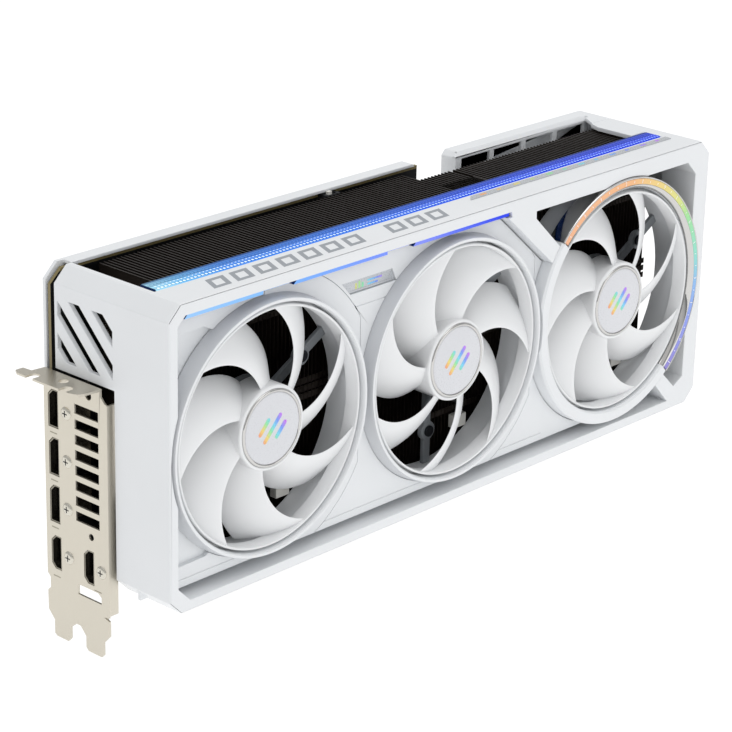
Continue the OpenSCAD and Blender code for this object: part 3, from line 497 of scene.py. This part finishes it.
def joined(*meshes):
    """One mesh from several, with each one's own materials."""
    pieces = []
    for mesh in meshes:
        piece = bpy.data.objects.new("part", mesh)
        scene.collection.objects.link(piece)
        pieces.append(piece)
    with bpy.context.temp_override(active_object=pieces[0], object=pieces[0],
                                   selected_objects=pieces, selected_editable_objects=pieces):
        bpy.ops.object.join()
    mesh = pieces[0].data
    bpy.data.objects.remove(pieces[0])
    return mesh


def solid(points, faces, material):
    mesh = bpy.data.meshes.new("solid")
    mesh.from_pydata([tuple(p) for p in points], [], faces)
    mesh.materials.append(material)
    work = bmesh.new()
    work.from_mesh(mesh)
    bmesh.ops.recalc_face_normals(work, faces=work.faces)
    work.to_mesh(mesh)
    work.free()
    return mesh


def prism(outline, lift, material):
    """A flat outline of places pushed along the vector lift."""
    count = len(outline)
    points = list(outline) + [p + lift for p in outline]
    faces = [tuple(range(count)), tuple(range(2 * count - 1, count - 1, -1))]
    faces += [(i, (i + 1) % count, count + (i + 1) % count, count + i) for i in range(count)]
    return solid(points, faces, material)


def block(lo, hi, material):
    """A box between two places in mm, as spot() takes them."""
    (x0, y0, z0), (x1, y1, z1) = lo, hi
    return prism([spot(x0, y0, z0), spot(x1, y0, z0), spot(x1, y1, z0), spot(x0, y1, z0)],
                 Vector((0, 0, (z1 - z0) * MM)), material)


# %% [markdown]
# ## Copies by rule
# Fins, ribs, prism dots, pins, blades and screws repeat. Three small Geometry Nodes trees lay
# out all but the pins: along a line, round an axle, and at a set of places.


# %% Trees that copy
def new_tree(name, sockets):
    tree = bpy.data.node_groups.new(name, "GeometryNodeTree")
    for label, kind in sockets:
        tree.interface.new_socket(label, in_out="INPUT", socket_type=kind)
    tree.interface.new_socket("Copies", in_out="OUTPUT", socket_type="NodeSocketGeometry")
    return tree, add(tree, "NodeGroupInput").outputs


def end_tree(tree, source, points, part, **rotation):
    """Puts the part on the points, makes it real, and paints it all with the one material."""
    copies = add(tree, "GeometryNodeInstanceOnPoints",
                 {"Points": points, "Instance": part, **rotation}).outputs["Instances"]
    real = add(tree, "GeometryNodeRealizeInstances", {"Geometry": copies}).outputs["Geometry"]
    painted = add(tree, "GeometryNodeSetMaterial",
                  {"Geometry": real, "Material": source["Material"]}).outputs["Geometry"]
    add(tree, "NodeGroupOutput", {"Copies": painted})


SOLID, WHOLE, VECTOR = "NodeSocketGeometry", "NodeSocketInt", "NodeSocketVector"
FINISH = "NodeSocketMaterial"
row_tree, source = new_tree("copies_in_a_row", [
    ("Part", SOLID), ("Count", WHOLE), ("Step", VECTOR), ("Material", FINISH)])
line = add(row_tree, "GeometryNodeMeshLine", {"Count": source["Count"], "Offset": source["Step"]})
end_tree(row_tree, source, line.outputs["Mesh"], source["Part"])

axle_tree, source = new_tree("copies_round_an_axle", [
    ("Part", SOLID), ("Count", WHOLE), ("Centre", VECTOR), ("Axis", VECTOR), ("Material", FINISH)])
points = add(axle_tree, "GeometryNodePoints", {"Count": source["Count"],
             "Position": source["Centre"]}).outputs[0]
share = math_node(axle_tree, "DIVIDE", add(axle_tree, "GeometryNodeInputIndex").outputs[0],
                  source["Count"])
turned_by = add(axle_tree, "FunctionNodeAxisAngleToRotation", {
    "Axis": source["Axis"], "Angle": math_node(axle_tree, "MULTIPLY", share, 2 * math.pi)})
end_tree(axle_tree, source, points, source["Part"], Rotation=turned_by.outputs["Rotation"])

places_tree, source = new_tree("copies_at_places", [
    ("Places", SOLID), ("Part", "NodeSocketObject"), ("Material", FINISH)])
info = add(places_tree, "GeometryNodeObjectInfo", {"Object": source["Part"], "As Instance": True})
end_tree(places_tree, source, source["Places"], info.outputs["Geometry"])


def grown(mesh, tree, inputs):
    """Runs a tree on a mesh with its named inputs, and gives the resulting plain mesh."""
    piece = bpy.data.objects.new("grown", mesh)
    scene.collection.objects.link(piece)
    modifier = piece.modifiers.new("copies", "NODES")
    modifier.node_group = tree
    for item in tree.interface.items_tree:
        if item.in_out == "INPUT" and item.name in inputs:
            modifier[item.identifier] = inputs[item.name]
    return baked(piece)


def in_a_row(mesh, count, step, material):
    return grown(mesh, row_tree, {"Count": count, "Step": step, "Material": material})


def at_places(mesh, places, material):
    part = bpy.data.objects.new("part", mesh)
    scene.collection.objects.link(part)
    marks = bpy.data.meshes.new("places")
    marks.from_pydata([tuple(p) for p in places], [], [])
    made = grown(marks, places_tree, {"Part": part, "Material": material})
    bpy.data.objects.remove(part)
    return made


# %% [markdown]
# ## White shell
# The outer frame, the sunken panel, the three ducts, the back cover and the rear fan's cover are
# injection mouldings. Their shapes come straight from the CAD; the frame's front edge has the
# wider chamfer that catches the light.

# %% Shell pieces
keep("shroud_shell", softened("shroud_frame", shell_white, 0.35, front_edge=1.0), "card",
     "shroud_frame", slot="white_shell")
for name, node, width in (("sunken_panel", "front_panel", 0.2), ("back_cover", "backplate", 0.35),
                          ("rear_cover", "rear_fan_cover", 0.35), ("duct_wall_3", "duct_3", 0.18)):
    keep(name, softened(node, shell_white, width), "card", node, slot="white_shell")
OUTER_WALL_R = 55.3
for n in (1, 2):
    duct = softened(f"duct_{n}", shell_white, 0.18)
    duct.materials.append(painted_wall_shade)
    # outward-facing faces on the outer wall take the grey copy: painted shade along the rim
    for face in duct.polygons:
        out = face.center - spot(FANS[n].x, face.center.y / MM, FANS[n].z)
        out.y = 0
        outside = out.length > OUTER_WALL_R * MM and face.normal.dot(out) > 0
        if outside and abs(face.normal.y) < 0.6:
            face.material_index = 1
    keep(f"duct_wall_{n}", duct, "card", f"duct_{n}", slot="white_shell")
print("shell pieces softened")

# %% [markdown]
# ## Fan rotors
# A rotor is one moulding: a hub, seven twisted blades and a thin ring that joins their tips. A
# blade is a grid of sections from hub to tip. Its leading edge sweeps forward as it goes out, and
# it dives towards its trailing edge, more steeply near the hub.

# %% Blade and rotor
BLADES = 7
PHASE = {1: 0.0, 2: 180.0, 3: -3.0, 4: 10.0}
HAND = {1: 1, 2: -1, 3: 1, 4: 1}
HUB_R = 18.6
ACROSS, OUT = 18, 22  # a blade's grid, along its chord and out from the hub


def fan_place(n):
    """Turns (radius, degrees, depth behind the rim) into a place for fan n."""
    mid = FANS[n]
    flip = centre_of("rotor_4").y + (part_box("rotor_4")[1].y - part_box("rotor_4")[0].y) / MM / 2 + 1

    def place(r, degrees, depth):
        a = math.radians(degrees)
        y = depth if n < 4 else flip - depth
        return spot(mid.x + r * math.cos(a), y, mid.z + r * math.sin(a))
    return place


def blade(n, tip_r, trail, relative_to):
    """One blade about the fan's axle; trail is the depth of its trailing edge."""
    place = fan_place(n)
    hand, turn = HAND[n], PHASE[n]

    def skin(t, s, side):
        u = -0.03 + 1.03 * t
        r = HUB_R + u * (tip_r - HUB_R)
        lead = 54 + 20.3 * u + 14.2 * u * u
        wrap = 50 - 36 * u + 20 * u * u
        dive = s ** 1.3
        depth = 2.2 + (1 - u) * 0.8 + (trail - 2.6 - 0.8 * (1 - u)) * dive
        thick = 0.35 + 1.25 * math.sin(math.pi * min(max(s, 0.0), 1.0)) ** 0.6 * (1 - 0.35 * u)
        thick += 1.2 * math.exp(-max(u, 0) / 0.05) * math.sin(math.pi * s)
        steep = math.atan2((trail - 3) * 1.3 * max(s, 0.02) ** 0.3, math.radians(wrap) * r)
        lean = math.degrees(math.sin(steep) * thick / 2 / r) * side
        return place(r, hand * (lead - wrap * s - lean) + turn,
                     depth - side * math.cos(steep) * thick / 2)

    work = bmesh.new()
    sheets = []
    for side in (1, -1):
        sheets.append([[work.verts.new(skin(i / OUT, j / ACROSS, side) - relative_to)
                        for j in range(ACROSS + 1)] for i in range(OUT + 1)])
    for sheet in sheets:
        for i in range(OUT):
            near, far = sheet[i], sheet[i + 1]
            for j in range(ACROSS):
                work.faces.new((near[j], far[j], far[j + 1], near[j + 1]))
    top, under = sheets
    for i in range(OUT):
        for j in (0, ACROSS):
            work.faces.new((top[i][j], top[i + 1][j], under[i + 1][j], under[i][j]))
    for i in (0, OUT):
        for j in range(ACROSS):
            work.faces.new((top[i][j], top[i][j + 1], under[i][j + 1], under[i][j]))
    bmesh.ops.recalc_face_normals(work, faces=work.faces)
    rims = [e for e in work.edges if e.calc_face_angle(0) > math.radians(50)]
    bmesh.ops.bevel(work, geom=rims, offset=0.14 * MM, segments=2, profile=0.5, affect="EDGES",
                    clamp_overlap=True)
    mesh = bpy.data.meshes.new("blade")
    work.to_mesh(mesh)
    work.free()
    mesh.shade_smooth()
    return mesh


for n in (1, 2, 3, 4):
    place = fan_place(n)
    lo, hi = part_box(f"rotor_{n}")
    tip_r = (hi.x - lo.x) / MM / 2
    back_d = 1 + (hi.y - lo.y) / MM
    middle_of_fan = spot(FANS[n].x, 0, FANS[n].z)
    one = blade(n, tip_r - 0.7, back_d - 0.6, middle_of_fan)
    blades = grown(one, axle_tree, {"Count": BLADES, "Centre": middle_of_fan,
                   "Axis": Vector((0, 1, 0)), "Material": fan_white})
    hub = turned([(0, 2.0), (17.0, 2.0), (17.0, 1.3), (17.12, 1.1), (17.35, 1.0), (17.8, 1.02),
                  (18.2, 1.2), (18.48, 1.55), (18.6, 2.1), (18.6, back_d - 0.6),
                  (16.7, back_d - 0.6), (16.7, 3.6), (0, 3.6)], place, fan_white, 128)
    inner, outer, far = tip_r - 1.1, tip_r, 8.5 if n < 4 else 7.2
    ring = turned([(inner, 1.55), (inner + 0.12, 1.2), (inner + 0.38, 1.02), (outer - 0.38, 1.02),
                   (outer - 0.12, 1.2), (outer, 1.55), (outer, far - 0.2), (outer - 0.2, far),
                   (inner + 0.2, far), (inner, far - 0.2)], place, fan_white, 192)
    keep(f"fan_rotor_{n}", joined(hub, ring, blades), f"fan_{n}", f"rotor_{n}", slot="fan_white")
print("4 rotors of", BLADES, "blades")

# %% [markdown]
# ## Hub discs
# A satin disc closes each hub inside a chrome ring. The disc carries a printed accent: three
# plain leaning bars in colour-shift foil. The bars carry their own map, which runs with the
# rainbow, so each fan's print looks the same.

# %% Discs, chrome rings and accents
BARS = [(-4.6, -2.0, 9.0), (0.0, 0.0, 15.0), (4.6, 2.0, 9.0)]
BAR_TILT, BAR_HALF = math.radians(48), 1.05


def accent(place, front):
    """Three leaning bars with rounded ends, as a thin print on the disc."""
    work = bmesh.new()
    layer = work.loops.layers.uv.new("along_the_print")
    for shift, slide, length in BARS:
        half = length / 2 - BAR_HALF
        outline = [(half + BAR_HALF * math.cos(a), BAR_HALF * math.sin(a))
                   for a in (math.radians(-90 + 22.5 * k) for k in range(9))]
        outline += [(-x, -y) for x, y in outline]
        corners = []
        for depth in (front, front + 0.15):
            for x, y in outline:
                along_bar, side_bar = x + slide, y + shift
                px = along_bar * math.cos(BAR_TILT) + side_bar * math.sin(BAR_TILT)
                pz = along_bar * math.sin(BAR_TILT) - side_bar * math.cos(BAR_TILT)
                r, a = math.hypot(px, pz), math.degrees(math.atan2(pz, px))
                corners.append((work.verts.new(place(r, a, depth)), (px + 0.6 * pz + 9) / 18))
        count = len(outline)
        faces = [corners[:count], corners[:count - 1:-1]]
        faces += [[corners[i], corners[(i + 1) % count], corners[count + (i + 1) % count],
                   corners[count + i]] for i in range(count)]
        for face in faces:
            made = work.faces.new([v for v, _ in face])
            for loop, (_, u) in zip(made.loops, face):
                loop[layer].uv = (u, 0.5)
    bmesh.ops.recalc_face_normals(work, faces=work.faces)
    mesh = bpy.data.meshes.new("accent")
    work.to_mesh(mesh)
    work.free()
    mesh.materials.append(hub_foil)
    return mesh


for n in (1, 2, 3, 4):
    place = fan_place(n)
    lo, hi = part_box(f"hub_cap_{n}")
    r = (hi.x - lo.x) / MM / 2
    disc = turned([(0, 0.66), (r - 0.5, 0.66), (r - 0.2, 0.74), (r, 0.95), (r, 1.8), (0, 1.8)],
                  place, chip_silver, 128)
    keep(f"hub_disc_{n}", joined(disc, accent(place, 0.62)) if n < 4 else disc, f"fan_{n}",
         f"hub_cap_{n}", slot="hub_disc")
    if n < 4:
        lo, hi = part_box(f"hub_trim_{n}")
        r1 = (hi.x - lo.x) / MM / 2
        r0 = r1 - 1.3
        trim = turned([(r0, 1.8), (r0, 0.8), (r0 + 0.2, 0.6), (r0 + 0.5, 0.52), (r1 - 0.5, 0.58),
                       (r1 - 0.15, 0.8), (r1, 1.1), (r1, 1.8)], place, chrome, 128)
        keep(f"hub_ring_{n}", trim, f"fan_{n}", f"hub_trim_{n}", slot="chrome_trim")
print("hub discs done")

# %% [markdown]
# ## Trim on the third duct
# Two thirds of the third duct's rim is chrome, with a foil band between two bright lips. Ticks
# and plain figures run round the band like a dial.

# %% Ring trim and band
place = fan_place(3)
DUCT_R, END_R = 53.8, 59.8
BAND_R0, BAND_R1 = DUCT_R + 2.46, END_R - 0.96
BAND_MID = (BAND_R0 + BAND_R1) / 2
trim = turned([(DUCT_R + 0.2, 1.9), (DUCT_R + 0.2, 1.3), (DUCT_R + 0.7, 0.5),
               (DUCT_R + 1.9, -0.78), (DUCT_R + 2.2, -0.86), (DUCT_R + 2.4, -0.7),
               (DUCT_R + 2.4, -0.1),
               (END_R - 0.9, -0.1), (END_R - 0.9, -0.7), (END_R - 0.75, -0.88),
               (END_R - 0.3, -0.86), (END_R - 0.06, -0.6), (END_R, -0.2), (END_R, 8),
               (DUCT_R + 2.2, 8), (DUCT_R + 2.2, 1.9)],
              place, chrome, 160, TRIM_FROM, TRIM_TO - TRIM_FROM)
keep("ring_chrome", trim, "card", "ring_trim", slot="chrome_trim")
band = turned([(BAND_R0, -0.15), (BAND_R0, -0.74), (BAND_R1, -0.74), (BAND_R1, -0.15)], place,
              band_foil, 160, TRIM_FROM + 0.4, TRIM_TO - TRIM_FROM - 0.8)
TICK_HALF = 0.35 / BAND_MID * 57.3 / 2  # in degrees
marks = []
for k in range(30):
    a = TRIM_FROM + 4 + k * 6.2
    long = 0.45 if k % 5 else 0.9
    if k % 5 == 2:
        figure = bpy.data.curves.new("figure", "FONT")
        figure.body, figure.size = str((k // 5) * 3 % 10), 2.6 * MM
        figure.align_x, figure.align_y = "CENTER", "CENTER"
        figure.extrude = 0.02 * MM
        figure.resolution_u = 3
        holder = bpy.data.objects.new("figure", figure)
        scene.collection.objects.link(holder)
        graph = bpy.context.evaluated_depsgraph_get()
        text = bpy.data.meshes.new_from_object(holder.evaluated_get(graph))
        bpy.data.objects.remove(holder)
        text.transform(Matrix.Translation(place(BAND_MID, a, -0.78)) @
                       Matrix.Rotation(math.radians(90 - a), 4, "Y") @
                       Matrix.Rotation(math.radians(90), 4, "X"))
        text.materials.clear()
        text.materials.append(mark_white)
        marks.append(text)
        continue
    corner = [(BAND_MID - long, -TICK_HALF), (BAND_MID + long, -TICK_HALF),
              (BAND_MID + long, TICK_HALF), (BAND_MID - long, TICK_HALF)]
    marks.append(prism([place(r, a + da, -0.8) for r, da in corner], Vector((0, 0.04 * MM, 0)),
                       mark_white))
keep("ring_foil_band", joined(band, *marks), "card", "ring_band", slot="rainbow_band")
print(len(marks), "marks on the band")

# %% [markdown]
# ## Fins
# The cooler is a stack of thin folded plates. From above they are fine dark lines with a brown
# glint; from the front their bent tabs lock together in bands. One fin is drawn with its tabs,
# and a row of copies makes each stack, closer together than the sturdier CAD plates. The bridge
# between the stacks is shallow where the heat pipes cross it, and full depth above them.

# %% Fin stacks
FIN_STEP, FIN_T = 2.3, 0.3
FIN_LOW, FIN_TOP = -86.4, 41.1
FIN_FRONT, FIN_REAR = 24, 55.2


def fin(x, y0, y1, z0):
    """One folded fin: a plate with the light bar's notch, a folded top edge and front tabs."""
    corner = [(y0, z0), (y1, z0), (y1, FIN_TOP), (29.4, FIN_TOP), (29.4, 36.2), (y0, 36.2)]
    plate = prism([spot(x, y, z) for y, z in corner], Vector((FIN_T * MM, 0, 0)), fin_bronze)
    tabs = [block((x, y0 - 0.02, z), (x + FIN_STEP - 0.25, y0 + 0.25, z + 2.6), fin_bronze)
            for z in (-60, -28, -24.4, -20.8, 14) if z > z0]
    edge = block((x, 29.5, FIN_TOP - 0.2), (x + 0.7, y1, FIN_TOP + 0.02), fin_bronze)
    return joined(plate, edge, *tabs)


def stack(x0, x1, y1, z0=FIN_LOW):
    """A row of fins from x0 to x1 that reach back to y1, and how many there are."""
    count = int((x1 - x0 - FIN_T) / FIN_STEP) + 1
    row = in_a_row(fin(x0, FIN_FRONT, y1, z0), count, Vector((FIN_STEP * MM, 0, 0)), fin_bronze)
    return row, count


main_stack, count_1 = stack(22, 204, 65.4)
keep("fins_main", main_stack, "card", "fin_stack_main", slot="dark_fins")
bridge, count_2 = stack(206, 227, 42)
upper_bridge, _ = stack(206.1, 227, FIN_REAR, z0=18)
rear, count_3 = stack(228, 336, FIN_REAR)
keep("fins_rear", joined(bridge, upper_bridge, rear), "card", "fin_stack_rear",
     slot="dark_fins")
print(count_1 + count_2 + count_3, "fins")

# %% [markdown]
# ## Light bar
# Along the top edge runs a lit polycarbonate bar. Its front edge is moulded into a row of small
# prisms that show as bright dots, and fine ribs cross its top.

# %% Light bar
bar = softened("light_bar", bar_light, 0.25)
dot = prism([spot(12, 19.0, 43.94), spot(13.1, 19.0, 43.94), spot(13.1, 19.8, 43.98),
             spot(12.55, 20.2, 43.99), spot(12, 19.8, 43.98)], Vector((0, 0, 0.1 * MM)),
            dot_light)
small_dot = block((12.9, 21.8, 43.95), (13.7, 22.3, 44.04), dot_light)
PRISMS, PRISM_STEP = 162, Vector((2.0 * MM, 0, 0))
prisms = in_a_row(joined(dot, small_dot), PRISMS, PRISM_STEP, dot_light)
ribs = in_a_row(block((12, 22.8, 43.9), (12.8, 24.4, 44.1), bar_light), PRISMS, PRISM_STEP,
                bar_light)
lanes = joined(*[block((12, y, 43.9), (336, y + 0.35, 44.1), bar_light) for y in (25.2, 27.1)])
keep("light_bar_lens", joined(bar, prisms, ribs, lanes), "card", "light_bar",
     slot="light_diffuser")
keep("slot_light_lens", softened("edge_light", slot_light, 0.15), "card", "edge_light",
     slot="edge_diffuser")
print("light bar:", PRISMS, "prisms")

# %% [markdown]
# ## Printed accents
# Lettering is left out. A row of plain leaning frames in grey keeps the printed weight on the
# top, coloured dashes and a satin strip run along the far half, and the small plaque carries a
# few foil bars.


# %% Prints
PRINT_T = 0.06


def leaning(x, y0, y1, width, lean, z, material):
    """A leaning bar printed on the top face."""
    return prism([spot(x, y0, z), spot(x + width, y0, z), spot(x + width + lean, y1, z),
                  spot(x + lean, y1, z)], Vector((0, 0, PRINT_T * MM)), material)


# ten leaning frames with a gap before the last three; each is two strokes and two cross bars
frames = []
for k in (*range(7), *range(8, 11)):
    x = 29 + k * 13.0
    for x0, y0, y1, width, lean in (
            (x, 4.8, 14.8, 2.4, 4.2), (x + 7.4, 4.8, 14.8, 2.4, 4.2),
            (x + 2.4, 4.8, 7.0, 5.0, 0.92), (x + 5.68, 12.6, 14.8, 5.0, 0.92)):
        frames.append(leaning(x0, y0, y1, width, lean, 43.66, print_grey))
keep("top_print", joined(*frames), "card")
dashes = [leaning(200 + k * 11.5, 14.0, 15.6, 2.6 if k % 2 else 4.2, 0.6, 44.1, inlay_foil)
          for k in range(12)]
strip = softened("top_inlay", badge_grey, 0.1)
keep("top_inlay_strip", joined(strip, *dashes), "card", "top_inlay", slot="inlay_strip")
BADGE_Y = 6.9
bars = [prism([spot(x, BADGE_Y, z), spot(x, BADGE_Y, z + h), spot(x + w, BADGE_Y, z + h),
               spot(x + w, BADGE_Y, z)], Vector((0, 0.08 * MM, 0)), badge_foil)
        for x, z, w, h in ((112.5, 23.0, 1.2, 2.6), (114.5, 23.0, 1.2, 3.4),
                           (116.5, 23.0, 1.2, 2.2), (120, 24.9, 9, 0.8), (120, 23.2, 6.5, 0.8))]
keep("badge", joined(softened("plaque", badge_grey, 0.12), *bars), "card", "plaque",
     slot="badge_plate")
print("prints laid")

# %% [markdown]
# ## Bracket
# The bracket is stamped from a sheet of stainless steel, bent over at the top. Its screws are
# small pan heads with a cross recess, and a short etched line marks each socket.

# %% Bracket, screws and sockets
keep("slot_bracket", softened("io_bracket", bracket_steel, 0.12), "card", "io_bracket",
     slot="bracket_steel")
BRACKET_X = -2.5


def pan_head():
    """A pan-head screw facing -X at the frame's middle, with a cross recess."""
    def place(r, degrees, depth):
        a = math.radians(degrees)
        return Vector((depth * MM, r * math.cos(a) * MM, r * math.sin(a) * MM))
    head = turned([(0, -0.85), (1.6, -0.82), (2.3, -0.6), (2.75, -0.3), (2.9, 0.0), (0, 0)],
                  place, screw_steel, 32)
    arms = [prism([Vector((-0.9, a, b)) * MM for a, b in corner], Vector((0.5 * MM, 0, 0)),
                  socket_black)
            for corner in (((-1.4, -0.25), (1.4, -0.25), (1.4, 0.25), (-1.4, 0.25)),
                           ((-0.25, -1.4), (0.25, -1.4), (0.25, 1.4), (-0.25, 1.4)))]
    return head, joined(*arms)


SCREW_AT = [spot(BRACKET_X, y, z) for y, z in (
    (59.1, -16.4), (59.1, -37.7), (59.1, -59.0), (58.9, -81.0), (38.6, -81.0))]
head, cross = pan_head()
keep("bracket_screw_heads", joined(at_places(head, SCREW_AT, screw_steel),
                                   at_places(cross, SCREW_AT, socket_black)),
     "card", "bracket_screws", slot="screw_steel")
lines = [block((-2.53, y - 2.2, z), (-2.45, y + 2.2, z + 0.5), etched)
         for y, z in ((67.2, -27.4), (67.2, -48.7), (67.2, -70.0), (66.8, -92.2), (41.0, -90.6))]
keep("bracket_marks", joined(*lines), "card")
for node, material, width, slot_name in (
        ("dp_shells", socket_shell, 0.08, "socket_shell"),
        ("hdmi_shells", socket_shell, 0.08, "socket_shell"),
        ("dp_tongues", socket_black, 0.1, "socket_black"),
        ("hdmi_tongues", socket_black, 0.1, "socket_black")):
    keep(node.replace("_", "_socket_"), softened(node, material, width), "card", node,
         slot=slot_name)
print(len(SCREW_AT), "screws")

# %% [markdown]
# ## The other CAD parts
# The rest keep their CAD shapes and take the finish of what they are made of. Those that can be
# seen between the fins, the blades and the slots also get softened edges.

# %% Finishes for the remaining nodes
for node, material, width, slot_name in (
        ("fan_bases", mount_grey, 0.3, "grey_mount"), ("fan_plugs", plug_white, 0.3, "plug_white"),
        ("fan_screws", dark_screw, 0.15, "dark_screw"),
        ("cover_screws", dark_screw, 0.2, "dark_screw"),
        ("power_socket", socket_black, 0.2, "socket_black"),
        ("die_clamp", clamp_steel, 0.1, "clamp_steel")):
    keep(node + "_soft", softened(node, material, width), "card", node, slot=slot_name)
PLAIN = {
    "light_bar_board": mount_grey, "vapor_chamber": pipe_metal, "heat_pipes": pipe_metal,
    "pcb": board_mask, "edge_contacts": gold, "gpu_package": package_green, "gpu_die": silicon,
    "memory_chips": chip_black, "thermal_pads": pad_grey, "inductors": chip_black,
    "power_stages": chip_black, "capacitors": can_metal, "power_pins": gold,
    "fan_bearings": bronze, "motor_stators": copper, "fan_leads": lead_black,
    "switch_body": chip_black, "switch_slider": plug_white,
    "shaft_1": shaft_steel, "shaft_2": shaft_steel, "shaft_3": shaft_steel, "shaft_4": shaft_steel,
}
for node, material in PLAIN.items():
    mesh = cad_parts[node].data
    mesh.materials.clear()
    mesh.materials.append(material)
shown = [n for n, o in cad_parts.items() if not o.hide_render]
assert set(shown) == set(PLAIN), sorted(set(shown) ^ set(PLAIN))
print(len(shown), "CAD nodes keep their shapes")
